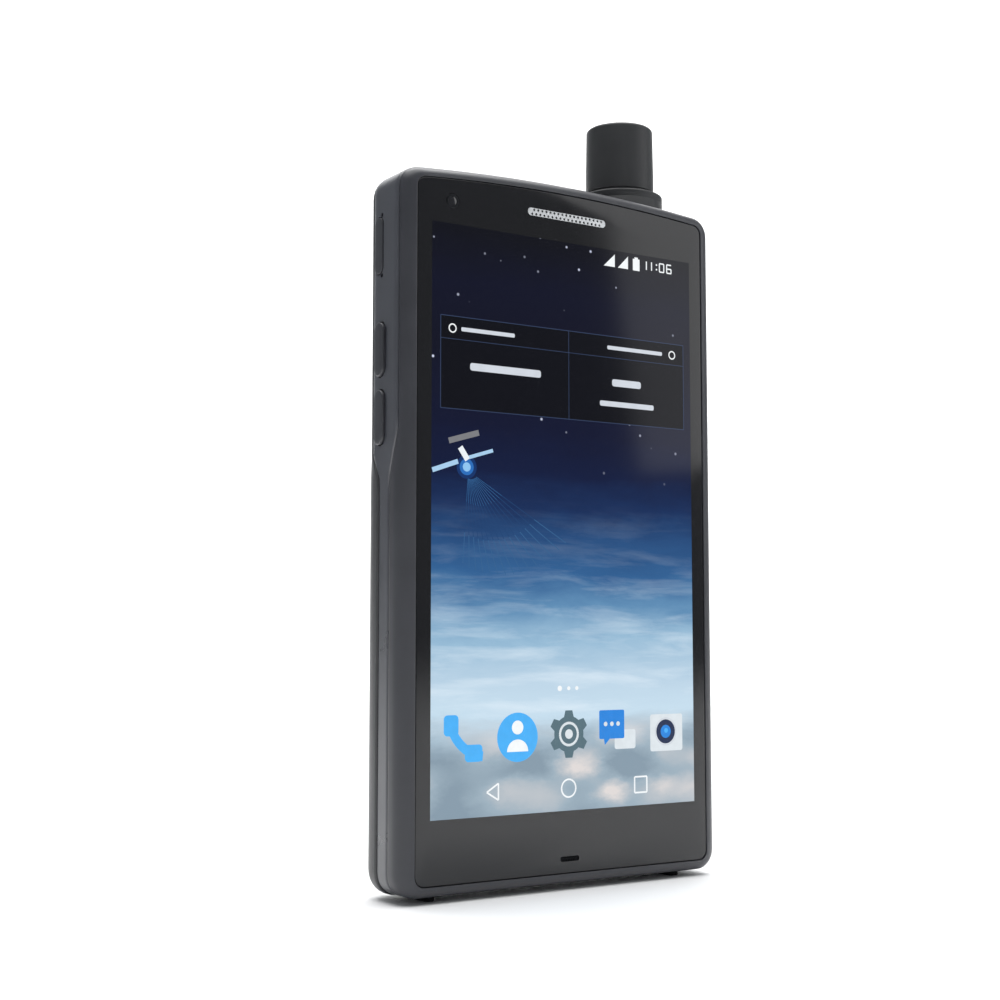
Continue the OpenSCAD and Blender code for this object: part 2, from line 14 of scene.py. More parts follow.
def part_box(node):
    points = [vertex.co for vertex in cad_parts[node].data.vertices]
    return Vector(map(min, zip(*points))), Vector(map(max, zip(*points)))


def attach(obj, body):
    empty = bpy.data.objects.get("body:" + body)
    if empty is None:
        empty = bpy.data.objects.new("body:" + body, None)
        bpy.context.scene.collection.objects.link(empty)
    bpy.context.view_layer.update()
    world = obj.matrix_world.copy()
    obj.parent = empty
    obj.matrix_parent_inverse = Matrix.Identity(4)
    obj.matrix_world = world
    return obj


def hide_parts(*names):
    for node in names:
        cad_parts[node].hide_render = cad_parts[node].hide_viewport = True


bl_info = {
    "name": "Satellite phone",
    "version": (1, 0, 0),
    "blender": (4, 5, 0),
    "location": "View3D > Sidebar > Phone",
    "description": "Builds the casing, screen, antenna, keys and finishes of a satellite phone",
    "category": "Object",
}

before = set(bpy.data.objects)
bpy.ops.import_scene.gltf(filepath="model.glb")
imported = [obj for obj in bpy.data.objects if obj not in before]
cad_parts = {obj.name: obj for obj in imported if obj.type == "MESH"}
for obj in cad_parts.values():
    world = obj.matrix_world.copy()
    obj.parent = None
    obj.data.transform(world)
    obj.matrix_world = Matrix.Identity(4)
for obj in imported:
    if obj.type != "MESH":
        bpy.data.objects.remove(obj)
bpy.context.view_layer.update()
MM = 0.001


def box_mm(node):
    """Lowest and highest corner of a CAD node, in millimetres."""
    low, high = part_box(node)
    return Vector(low) / MM, Vector(high) / MM


def middle_mm(node):
    low, high = box_mm(node)
    return (low + high) / 2


FRAME_LOW, FRAME_HIGH = box_mm("mid_frame")
HALF_W = FRAME_HIGH.x
BOTTOM = FRAME_LOW.z
TOP = FRAME_HIGH.z
GLASS_Y = box_mm("cover_glass")[0].y
# The casing screws' heads lie this far below the back
SCREW_SINK = 0.2
BACK_Y = box_mm("housing_screws")[1].y + SCREW_SINK
BODY_BACK = BACK_Y - GLASS_Y
ANT = middle_mm("antenna_collar")
ANT_R = (box_mm("antenna_collar")[1].x - box_mm("antenna_collar")[0].x) / 2
PANEL_LOW, PANEL_HIGH = box_mm("display_panel")
# The panel's unlit margins at the sides, below and above the picture
MARGIN_SIDE, MARGIN_LOW, MARGIN_HIGH = 0.8, 1.5, 0.9
SCREEN_HALF_W = PANEL_HIGH.x - MARGIN_SIDE
SCREEN_BOTTOM = PANEL_LOW.z + MARGIN_LOW
SCREEN_H = PANEL_HIGH.z - MARGIN_HIGH - SCREEN_BOTTOM
MOTHER = "casing"
# Depth of the glass's outer face, which leaves room for what is raised on it
SCREEN_FACE = 0.06


# Sizes and colours that a user would change


def linear(value):
    """sRGB hex such as "#2b2c2f" to a linear colour with alpha."""
    def channel(c):
        return c / 12.92 if c <= 0.04045 else ((c + 0.055) / 1.055) ** 2.4

    return tuple(channel(int(value[i:i + 2], 16) / 255) for i in (1, 3, 5)) + (1.0,)


def length_prop(name, description, default):
    return bpy.props.FloatProperty(name=name, description=description, default=default, unit="LENGTH")


def colour_prop(name, description, value):
    return bpy.props.FloatVectorProperty(
        name=name, description=description, default=linear(value), size=4, subtype="COLOR", min=0, max=1)


class PhoneShape(bpy.types.PropertyGroup):
    """Sizes of the casing that the CAD frame leaves plain."""

    corner: length_prop("Corner", "Corner radius seen from the front", 0.0045)
    side_round: length_prop("Side rounding", "Rounding of the front edge along the sides", 0.0033)
    end_round: length_prop("End rounding", "Rounding of the front edge at top and bottom", 0.0022)
    back_side_round: length_prop("Back side rounding", "Rounding of the back edge along the sides", 0.007)
    back_end_round: length_prop("Back end rounding", "Rounding of the back edge at top and bottom", 0.0055)
    arch: length_prop("Arch", "Radius of the arched top", 0.4)
    wall: length_prop("Wall", "Wall of the casing", 0.0019)
    groove: length_prop("Groove", "Chamfer on each side of a parting line", 0.00028)
    rear_proud: length_prop("Rear proud", "How far the rear shell stands proud below the jog", 0.0002)
    ridge_blend: length_prop("Ridge blend", "Fillet where the antenna ridge meets the back", 0.0022)


class PhoneFinish(bpy.types.PropertyGroup):
    """Colours of the outer finishes."""

    front_shell: colour_prop("Front shell", "Satin moulding round the glass", "#303137")
    band: colour_prop("Side band", "Satin moulding between the shells", "#383a41")
    rear_shell: colour_prop("Rear shell", "Spark-textured rear moulding", "#242528")
    glass_print: colour_prop("Glass print", "Black print behind the glass", "#131316")
    cap: colour_prop("Antenna cap", "Matt cap and collar", "#2a2b2d")


def shape(name):
    return getattr(bpy.context.scene.phone_shape, name) / MM


def finish(name):
    return tuple(getattr(bpy.context.scene.phone_finish, name))


# Making meshes


def piece(name, points, faces, material, sharp=38):
    """A smooth mesh object from points in millimetres, creased where faces meet at over sharp degrees."""
    mesh = bpy.data.meshes.new(name)
    mesh.from_pydata([Vector(p) * MM for p in points], [], faces)
    mesh.validate()
    obj = bpy.data.objects.new(name, mesh)
    bpy.context.scene.collection.objects.link(obj)
    tidy(obj, sharp)
    materials = material if isinstance(material, (list, tuple)) else [material]
    for entry in materials:
        mesh.materials.append(entry)
    return obj


def tidy(obj, sharp=38, weld=0.0005):
    """Welds doubled points, points the faces outwards and shades smooth with creases."""
    work = bmesh.new()
    work.from_mesh(obj.data)
    bmesh.ops.remove_doubles(work, verts=work.verts, dist=weld * MM)
    bmesh.ops.dissolve_degenerate(work, edges=work.edges, dist=weld * MM)
    bmesh.ops.recalc_face_normals(work, faces=work.faces)
    for face in work.faces:
        face.smooth = True
    work.to_mesh(obj.data)
    work.free()
    obj.data.set_sharp_from_angle(angle=math.radians(sharp))


def ring_surface(rings, closed_ends=False, loop=False):
    """Faces between equal closed rings of points. Returns the points and the faces."""
    count = len(rings[0])
    points = [p for ring in rings for p in ring]
    faces = []
    pairs = list(zip(range(len(rings) - 1), range(1, len(rings))))
    if loop:
        pairs.append((len(rings) - 1, 0))
    for a, b in pairs:
        for k in range(count):
            n = (k + 1) % count
            faces.append((a * count + k, a * count + n, b * count + n, b * count + k))
    if closed_ends:
        faces.append(tuple(range(count)))
        faces.append(tuple((len(rings) - 1) * count + k for k in reversed(range(count))))
    return points, faces


def evaluated(obj):
    """Replaces the object's mesh with what its modifiers make of it."""
    graph = bpy.context.evaluated_depsgraph_get()
    mesh = bpy.data.meshes.new_from_object(obj.evaluated_get(graph))
    obj.modifiers.clear()
    obj.data = mesh


def cut(obj, cutters, sharp=38):
    """Takes closed cutters out of a closed piece."""
    tool = join(cutters, "cutter")
    change = obj.modifiers.new("cut", "BOOLEAN")
    change.operation = "DIFFERENCE"
    change.solver = "EXACT"
    change.object = tool
    evaluated(obj)
    bpy.data.objects.remove(tool)
    tidy(obj, sharp)


def join(objects, name):
    """One object from several, keeping each one's materials."""
    slots = []
    work = bmesh.new()
    for obj in objects:
        mesh = obj.data
        offset = {}
        for i, material in enumerate(mesh.materials):
            if material not in slots:
                slots.append(material)
            offset[i] = slots.index(material)
        start = len(work.faces)
        work.from_mesh(mesh)
        work.faces.ensure_lookup_table()
        for face in work.faces[start:]:
            face.material_index = offset.get(face.material_index, 0)
    mesh = bpy.data.meshes.new(name)
    work.to_mesh(mesh)
    work.free()
    for material in slots:
        mesh.materials.append(material)
    for obj in objects:
        bpy.data.objects.remove(obj)
    merged = bpy.data.objects.new(name, mesh)
    bpy.context.scene.collection.objects.link(merged)
    return merged


def lathe(name, profile, centre, material, axis="z", steps=96, sharp=38):
    """Turns a profile of (radius, height) points into a closed solid or ring."""
    spin = Matrix.Identity(3)
    if axis == "y":
        spin = Matrix.Rotation(math.radians(-90), 3, "X")
    if axis == "x":
        spin = Matrix.Rotation(math.radians(90), 3, "Y")
    rings = []
    for radius, height in profile:
        ring = []
        for k in range(steps):
            a = 2 * math.pi * k / steps
            ring.append(Vector(centre) + spin @ Vector((radius * math.cos(a), radius * math.sin(a), height)))
        rings.append(ring)
    points, faces = ring_surface(rings, loop=True)
    return piece(name, points, faces, material, sharp)


def drill(r, low, high, centre, axis="y", steps=40):
    """A round cutter along an axis, from low to high of its centre."""
    return lathe("drill", [(0, low), (r, low), (r, high), (0, high)], centre, None, axis, steps)


def collar_drill():
    """The hole that the antenna's collar sits in."""
    return drill(ANT_R + 0.12, 0, 14, (ANT.x, ANT.y, box_mm("antenna_collar")[0].z), "z", 96)


def arc_points(cx, cy, r, start, end, steps):
    return [(cx + r * math.cos(math.radians(start + (end - start) * i / steps)),
             cy + r * math.sin(math.radians(start + (end - start) * i / steps))) for i in range(steps + 1)]


def rounded_rect(cx, cy, w, h, r, steps=6):
    out = []
    for sx, sy, a in ((1, -1, 270), (1, 1, 0), (-1, 1, 90), (-1, -1, 180)):
        out += arc_points(cx + sx * (w / 2 - r), cy + sy * (h / 2 - r), r, a, a + 90, steps)
    return out


def shrunk(loop, by):
    """A convex outline drawn in by a distance along its own normals."""
    count = len(loop)
    area = sum(loop[i - 1][0] * loop[i][1] - loop[i][0] * loop[i - 1][1] for i in range(count))
    side = 1 if area > 0 else -1
    out = []
    for i in range(count):
        before, here, after = Vector(loop[i - 1]), Vector(loop[i]), Vector(loop[(i + 1) % count])
        d1 = (here - before).normalized() if (here - before).length > 1e-9 else Vector((0, 0))
        d2 = (after - here).normalized() if (after - here).length > 1e-9 else Vector((0, 0))
        d = d1 + d2
        if d.length < 1e-9:
            out.append(tuple(here))
            continue
        d.normalize()
        out.append((here.x - side * d.y * by, here.y + side * d.x * by))
    return out


def prism(name, loop, start, end, material, plane="xz", bevel=0.0, steps=3, both=False, sharp=38):
    """A closed outline pushed from start to end, its end edge rounded by bevel.

    plane xz: the outline is (x, z), and start and end are y.
    plane yz: the outline is (y, z), and start and end are x.
    plane xy: the outline is (x, y), and start and end are z."""
    along = 1 if end > start else -1
    stations = [(start, 0.0)]
    if both and bevel:
        stations = [(start + along * bevel * (1 - math.cos(math.pi / 2 * i / steps)),
                     bevel * (1 - math.sin(math.pi / 2 * i / steps))) for i in range(steps + 1)]
    if bevel:
        stations += [(end - along * bevel * (1 - math.sin(math.pi / 2 * i / steps)),
                      bevel * (1 - math.cos(math.pi / 2 * i / steps))) for i in range(steps + 1)]
    else:
        stations.append((end, 0.0))
    place = {"xz": lambda p, t: (p[0], t, p[1]), "yz": lambda p, t: (t, p[0], p[1]),
             "xy": lambda p, t: (p[0], p[1], t)}[plane]
    rings = [[place(p, t) for p in (shrunk(loop, inset) if inset else loop)] for t, inset in stations]
    points, faces = ring_surface(rings, closed_ends=True)
    return piece(name, points, faces, material, sharp)


def stadium(cx, cy, length, width, steps=10):
    """Slot outline, long along its second axis."""
    r = width / 2
    return arc_points(cx, cy + length / 2 - r, r, 0, 180, steps) + arc_points(
        cx, cy - length / 2 + r, r, 180, 360, steps)


def on_body(obj, body, slot, *nodes):
    """Says which body a piece rides on and the CAD nodes it stands for. The slot argument is not used."""
    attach(obj, body)
    if nodes:
        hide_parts(*nodes)
    return obj


# Casing surface

JOG_Z0 = 80.6
REAR_JOG_Z1 = 85.6
FRONT_JOG_Z1 = 89.4
FRONT_LINE = (5.0, 2.1)
REAR_LINE = (8.8, 11.6)
CORNER_INSIDE = 2.4
# Half of the open gap between two shells
GAP = 0.1
CORNER_STEPS = 8
SIDE_STEPS = 56
ARCH_STEPS = 22
END_STEPS = 20


def eased(z, low, high):
    t = min(max((z - low) / (high - low), 0.0), 1.0)
    return t * t * (3 - 2 * t)


def straight(z, low, high):
    return min(max((z - low) / (high - low), 0.0), 1.0)


def line_depth(line, z, jog_end):
    return line[0] + (line[1] - line[0]) * straight(z, JOG_Z0, jog_end)


def half_roles():
    """Places round the right half of the outline, from the bottom's middle to the top's middle."""
    roles = [("bottom", i / END_STEPS) for i in range(END_STEPS)]
    roles += [("low_corner", i / CORNER_STEPS) for i in range(CORNER_STEPS)]
    roles += [("side", i / SIDE_STEPS) for i in range(SIDE_STEPS)]
    roles += [("high_corner", i / CORNER_STEPS) for i in range(CORNER_STEPS)]
    roles += [("arch", i / ARCH_STEPS) for i in range(ARCH_STEPS + 1)]
    return roles


HALF_ROLES = half_roles()
ROLES = [(role, 1) for role in HALF_ROLES] + [(role, -1) for role in reversed(HALF_ROLES[1:-1])]


def outline_point(role, inset_side, inset_end, corner):
    """The (x, z) of a place on the outline, drawn in from the sides and the ends."""
    (kind, t), mirror = role
    half = HALF_W - inset_side
    low = BOTTOM + inset_end
    arch_r = shape("arch") - inset_end
    arch_z = TOP - shape("arch")
    corner = min(max(corner, 0.05), half - 0.01)
    cx = half - corner
    phi = math.acos(cx / (arch_r - corner))
    cz = arch_z + (arch_r - corner) * math.sin(phi)
    if kind == "bottom":
        x, z = t * cx, low
    elif kind == "low_corner":
        a = math.radians(-90 + 90 * t)
        x, z = cx + corner * math.cos(a), low + corner + corner * math.sin(a)
    elif kind == "side":
        x, z = half, low + corner + t * (cz - low - corner)
    elif kind == "high_corner":
        x, z = cx + corner * math.cos(phi * t), cz + corner * math.sin(phi * t)
    else:
        a = phi + (math.pi / 2 - phi) * t
        x, z = arch_r * math.cos(a), arch_z + arch_r * math.sin(a)
    return mirror * x, z


def rounding(depth):
    """How far the casing's edge rounding draws the outline in at a depth: sides, ends and corner radius."""
    def drop(r, t):
        return r - math.sqrt(max(r * r - min(t, r) ** 2, 0.0)) if t > 0 else 0.0

    side = drop(shape("side_round"), shape("side_round") - depth)
    end = drop(shape("end_round"), shape("end_round") - depth)
    back = BODY_BACK - depth
    back_side = drop(shape("back_side_round"), shape("back_side_round") - back)
    back_end = drop(shape("back_end_round"), shape("back_end_round") - back)
    corner = shape("corner") - 0.75 * side + 0.15 * back_side
    return side + back_side, end + back_end, corner


def ridge_depth(x, z):
    """Depth of the crest over the stowed antenna at a place on the back."""
    foot = 7.6 * (1 - eased(z, 53, 67))
    head = 9.0 * eased(z, 135, 142)
    across = ANT_R ** 2 - (x - ANT.x) ** 2
    if across <= 0:
        return 0.0
    return ANT.y - GLASS_Y + math.sqrt(across) - foot - head


def with_ridge(x, z, depth):
    """Depth of the back with the ridge blended in."""
    ridge = ridge_depth(x, z)
    blend = shape("ridge_blend")
    if depth < REAR_LINE[1] + 1.5:
        return depth
    h = min(max(0.5 + 0.5 * (ridge - depth) / blend, 0.0), 1.0)
    return depth + (ridge - depth) * h + blend * h * (1 - h)


def surface_ring(depth_of, extra=0.0, proud=0.0, ridge=False, plain=None):
    """One ring of the casing's surface. depth_of gives the depth at a height.

    plain, as (side inset, end inset, corner), leaves the edge rounding out."""
    ring = []
    for role in ROLES:
        base_z = outline_point(role, 0, 0, shape("corner"))[1]
        depth = depth_of(base_z)
        side, end, corner = plain if plain else rounding(depth)
        grow = extra - proud * (1 - straight(base_z, JOG_Z0, REAR_JOG_Z1))
        x, z = outline_point(role, side + grow, end + grow, corner - 0.3 * extra)
        if ridge:
            depth = with_ridge(x, z, depth)
        ring.append((x, GLASS_Y + depth, z))
    return ring


def front_line(z):
    return line_depth(FRONT_LINE, z, FRONT_JOG_Z1)


def rear_line(z):
    return line_depth(REAR_LINE, z, REAR_JOG_Z1)


# Materials

# A colour mix keeps its sockets at these places
MIX_FACTOR, MIX_A, MIX_B = 0, 6, 7


def add(tree, kind, inputs=None, stops=None, **settings):
    """Adds a node. An input is a value, or a socket to link from; stops are a ramp's (place, colour)."""
    node = tree.nodes.new("ShaderNode" + kind)
    for key, value in settings.items():
        setattr(node, key, value)
    for key, value in (inputs or {}).items():
        if isinstance(value, bpy.types.NodeSocket):
            tree.links.new(value, node.inputs[key])
        else:
            node.inputs[key].default_value = value
    if stops:
        ramp = node.color_ramp
        ramp.elements[0].position = stops[0][0]
        ramp.elements[1].position = stops[-1][0]
        for place, _ in stops[1:-1]:
            ramp.elements.new(place)
        for element, (_, colour) in zip(ramp.elements, stops):
            element.color = colour
    return node


def per_metre(size_mm):
    """Pattern scale for a feature that measures size_mm."""
    return 1.0 / (size_mm * MM)


def start(name, **values):
    """A new material with its principled shader set. Returns the material, its tree and the shader."""
    material = bpy.data.materials.new(name)
    material.use_nodes = True
    tree = material.node_tree
    shader = tree.nodes["Principled BSDF"]
    for key, value in values.items():
        shader.inputs[key.replace("_", " ")].default_value = value
    return material, tree, shader


def toned(colour, factor):
    return tuple(min(c * factor, 1.0) for c in colour[:3]) + (1.0,)


def mottled(tree, shader, colour, size_mm, depth, roughness, spread, stretch=(1, 1, 1)):
    """Lets colour and roughness wander over patches of size_mm. Returns the coordinates."""
    place = add(tree, "TexCoord")
    mapped = add(tree, "Mapping", {"Vector": place.outputs["Object"], "Scale": stretch})
    patch = add(tree, "TexNoise", {
        "Vector": mapped.outputs["Vector"], "Scale": per_metre(size_mm), "Detail": 4.0, "Roughness": 0.6})
    tint = add(tree, "ValToRGB", {"Fac": patch.outputs["Fac"]}, stops=[
        (0.3, toned(colour, 1 - depth)), (0.7, toned(colour, 1 + depth))])
    rough = add(tree, "MapRange", {
        "Value": patch.outputs["Fac"], "From Min": 0.25, "From Max": 0.75,
        "To Min": roughness - spread, "To Max": roughness + spread})
    tree.links.new(tint.outputs["Color"], shader.inputs["Base Color"])
    tree.links.new(rough.outputs["Result"], shader.inputs["Roughness"])
    return mapped.outputs["Vector"]


def embossed(tree, shader, height, distance_mm, strength=1.0):
    bump = add(tree, "Bump", {"Height": height, "Distance": distance_mm * MM, "Strength": strength})
    tree.links.new(bump.outputs["Normal"], shader.inputs["Normal"])


def satin_moulded_polycarbonate(name, colour, roughness=0.38, grain_mm=0.28, grain_depth=0.006, gloss=0.5):
    """PC-ABS moulded in a fine-blasted tool: a soft, even sheen that breaks up a little close to."""
    material, tree, shader = start(name, IOR=1.58, Specular_IOR_Level=gloss)
    vector = mottled(tree, shader, colour, 9.0, 0.09, roughness, 0.045)
    # The tool's blasted grain is about 0.05 mm, drawn coarser so that it shows
    grain = add(tree, "TexNoise", {"Vector": vector, "Scale": per_metre(grain_mm), "Detail": 3.0})
    embossed(tree, shader, grain.outputs["Fac"], grain_depth)
    return material


def spark_textured_polycarbonate(name, colour):
    """PC-ABS moulded in a spark-eroded tool: a dry, pebbled face for the hand to hold."""
    material, tree, shader = start(name, IOR=1.58, Specular_IOR_Level=0.7)
    vector = mottled(tree, shader, colour, 14.0, 0.08, 0.42, 0.04)
    # Real pebbles are about 0.15 mm, drawn at 0.4 mm
    pebble = add(tree, "TexVoronoi", {"Vector": vector, "Scale": per_metre(0.4)},
                 feature="SMOOTH_F1")
    embossed(tree, shader, pebble.outputs["Distance"], 0.02)
    return material


def printed_cover_glass(name, colour):
    """Toughened glass printed black behind: a deep gloss with faint wiping marks."""
    material, tree, shader = start(name, IOR=1.52)
    mottled(tree, shader, colour, 18.0, 0.06, 0.075, 0.03, stretch=(1.0, 1.0, 0.45))
    return material


def polished_lens_glass(name, colour):
    """Coated lens glass over a dark barrel: black with a violet cast."""
    material, tree, shader = start(name, IOR=1.6, Coat_Weight=0.6, Coat_Roughness=0.01)
    mottled(tree, shader, colour, 2.5, 0.25, 0.05, 0.02)
    return material


def matt_moulded_abs(name, colour):
    """ABS cap moulded matt: the light spreads softly round it, with no clear highlight."""
    material, tree, shader = start(name, IOR=1.54, Specular_IOR_Level=0.42)
    vector = mottled(tree, shader, colour, 6.0, 0.07, 0.5, 0.04)
    grain = add(tree, "TexNoise", {"Vector": vector, "Scale": per_metre(0.22), "Detail": 3.0})
    embossed(tree, shader, grain.outputs["Fac"], 0.007)
    return material


def moulded_silicone(name, colour):
    """Silicone rubber: near black, dull, with dust in its pores."""
    material, tree, shader = start(name, IOR=1.41, Specular_IOR_Level=0.3)
    vector = mottled(tree, shader, colour, 3.0, 0.15, 0.72, 0.06)
    pores = add(tree, "TexNoise", {"Vector": vector, "Scale": per_metre(0.3), "Detail": 2.0})
    embossed(tree, shader, pores.outputs["Fac"], 0.012)
    return material


def brushed_metal(name, colour, roughness=0.32, along="z"):
    """Rolled or brushed metal: fine drawn lines along one way that stretch the highlight."""
    material, tree, shader = start(name, Metallic=1.0, Anisotropic=0.35)
    fine, coarse = 1.0, 0.04
    stretch = {"x": (coarse, fine, fine), "y": (fine, coarse, fine), "z": (fine, fine, coarse)}[along]
    vector = mottled(tree, shader, colour, 1.2, 0.12, roughness, 0.08, stretch=stretch)
    lines = add(tree, "TexNoise", {"Vector": vector, "Scale": per_metre(0.12), "Detail": 2.0})
    embossed(tree, shader, lines.outputs["Fac"], 0.003)
    return material


def cast_magnesium(name, colour):
    """Thixomoulded magnesium: grey, dull, with flow marks from the casting."""
    material, tree, shader = start(name, Metallic=1.0)
    vector = mottled(tree, shader, colour, 7.0, 0.14, 0.52, 0.08)
    skin = add(tree, "TexNoise", {"Vector": vector, "Scale": per_metre(1.4), "Detail": 5.0})
    embossed(tree, shader, skin.outputs["Fac"], 0.02)
    return material


def solder_masked_board(name, colour):
    """Glass-epoxy board under green mask, with copper tracks that show through as paler lines."""
    material, tree, shader = start(name, IOR=1.55, Coat_Weight=0.3, Coat_Roughness=0.15)
    place = add(tree, "TexCoord")
    turned = add(tree, "Mapping", {
        "Vector": place.outputs["Object"], "Rotation": (math.radians(90), 0, 0)})
    # Tracks are drawn a few tenths of a millimetre wide and 4 mm apart, coarser than the real 0.15 mm
    tracks = add(tree, "TexBrick", {
        "Vector": turned.outputs["Vector"], "Scale": per_metre(4.0), "Mortar Size": 0.035,
        "Color1": toned(colour, 0.85), "Color2": toned(colour, 1.1), "Mortar": toned(colour, 1.9)})
    patch = add(tree, "TexNoise", {
        "Vector": place.outputs["Object"], "Scale": per_metre(6.0), "Detail": 3.0})
    rough = add(tree, "MapRange", {"Value": patch.outputs["Fac"], "To Min": 0.3, "To Max": 0.5})
    tree.links.new(tracks.outputs["Color"], shader.inputs["Base Color"])
    tree.links.new(rough.outputs["Result"], shader.inputs["Roughness"])
    embossed(tree, shader, tracks.outputs["Fac"], 0.02)
    return material


def etched_polyimide(name, colour):
    """Amber polyimide strip with copper tracks along it."""
    material, tree, shader = start(name, IOR=1.7)
    place = add(tree, "TexCoord")
    # Tracks are drawn 0.6 mm apart, three times the real pitch
    tracks = add(tree, "TexWave", {
        "Vector": place.outputs["Object"], "Scale": per_metre(0.6) / 6.3, "Distortion": 0.0},
        bands_direction="X")
    tint = add(tree, "ValToRGB", {"Fac": tracks.outputs["Fac"]}, stops=[
        (0.35, toned(colour, 0.7)), (0.65, toned(colour, 1.25))])
    patch = add(tree, "TexNoise", {
        "Vector": place.outputs["Object"], "Scale": per_metre(3.0)})
    rough = add(tree, "MapRange", {"Value": patch.outputs["Fac"], "To Min": 0.25, "To Max": 0.45})
    tree.links.new(tint.outputs["Color"], shader.inputs["Base Color"])
    tree.links.new(rough.outputs["Result"], shader.inputs["Roughness"])
    embossed(tree, shader, tracks.outputs["Fac"], 0.01)
    return material


def laminated_foil(name, colour):
    """Aluminium-laminate pouch: soft creases and a dulled metal sheen."""
    material, tree, shader = start(name, Metallic=0.7)
    vector = mottled(tree, shader, colour, 11.0, 0.1, 0.42, 0.07)
    creases = add(tree, "TexNoise", {
        "Vector": vector, "Scale": per_metre(5.0), "Detail": 6.0, "Distortion": 1.5})
    embossed(tree, shader, creases.outputs["Fac"], 0.12)
    return material


def glowing_print(name, value, strength=1.0, second=None, size_mm=2.0):
    """A patch of lit pixels under the glass: even light with the glass's own gloss over it."""
    base = linear(value)
    other = linear(second) if second else toned(base, 0.95)
    material, tree, shader = start(name, Roughness=0.08, IOR=1.52, Specular_IOR_Level=0.2,
                                   Emission_Strength=strength)
    shader.inputs["Base Color"].default_value = (0.004, 0.004, 0.005, 1)
    place = add(tree, "TexCoord")
    patch = add(tree, "TexNoise", {
        "Vector": place.outputs["Object"], "Scale": per_metre(size_mm), "Detail": 3.0})
    tint = add(tree, "ValToRGB", {"Fac": patch.outputs["Fac"]}, stops=[
        (0.38, other), (0.6, base)])
    tree.links.new(tint.outputs["Color"], shader.inputs["Emission Color"])
    return material


SKY = (  # height up the screen, from bottom to top, and the sky's colour there
    (0.0, "#8fa3b2"), (0.1, "#9bb3c4"), (0.17, "#c3dbeb"), (0.23, "#bcd4e6"), (0.29, "#98bcd6"),
    (0.35, "#5f8db5"), (0.41, "#2f5f92"), (0.47, "#22497a"), (0.52, "#102b58"), (0.58, "#05143a"),
    (0.66, "#040b2c"), (0.8, "#03051c"), (0.9, "#030620"), (1.0, "#02030f"))


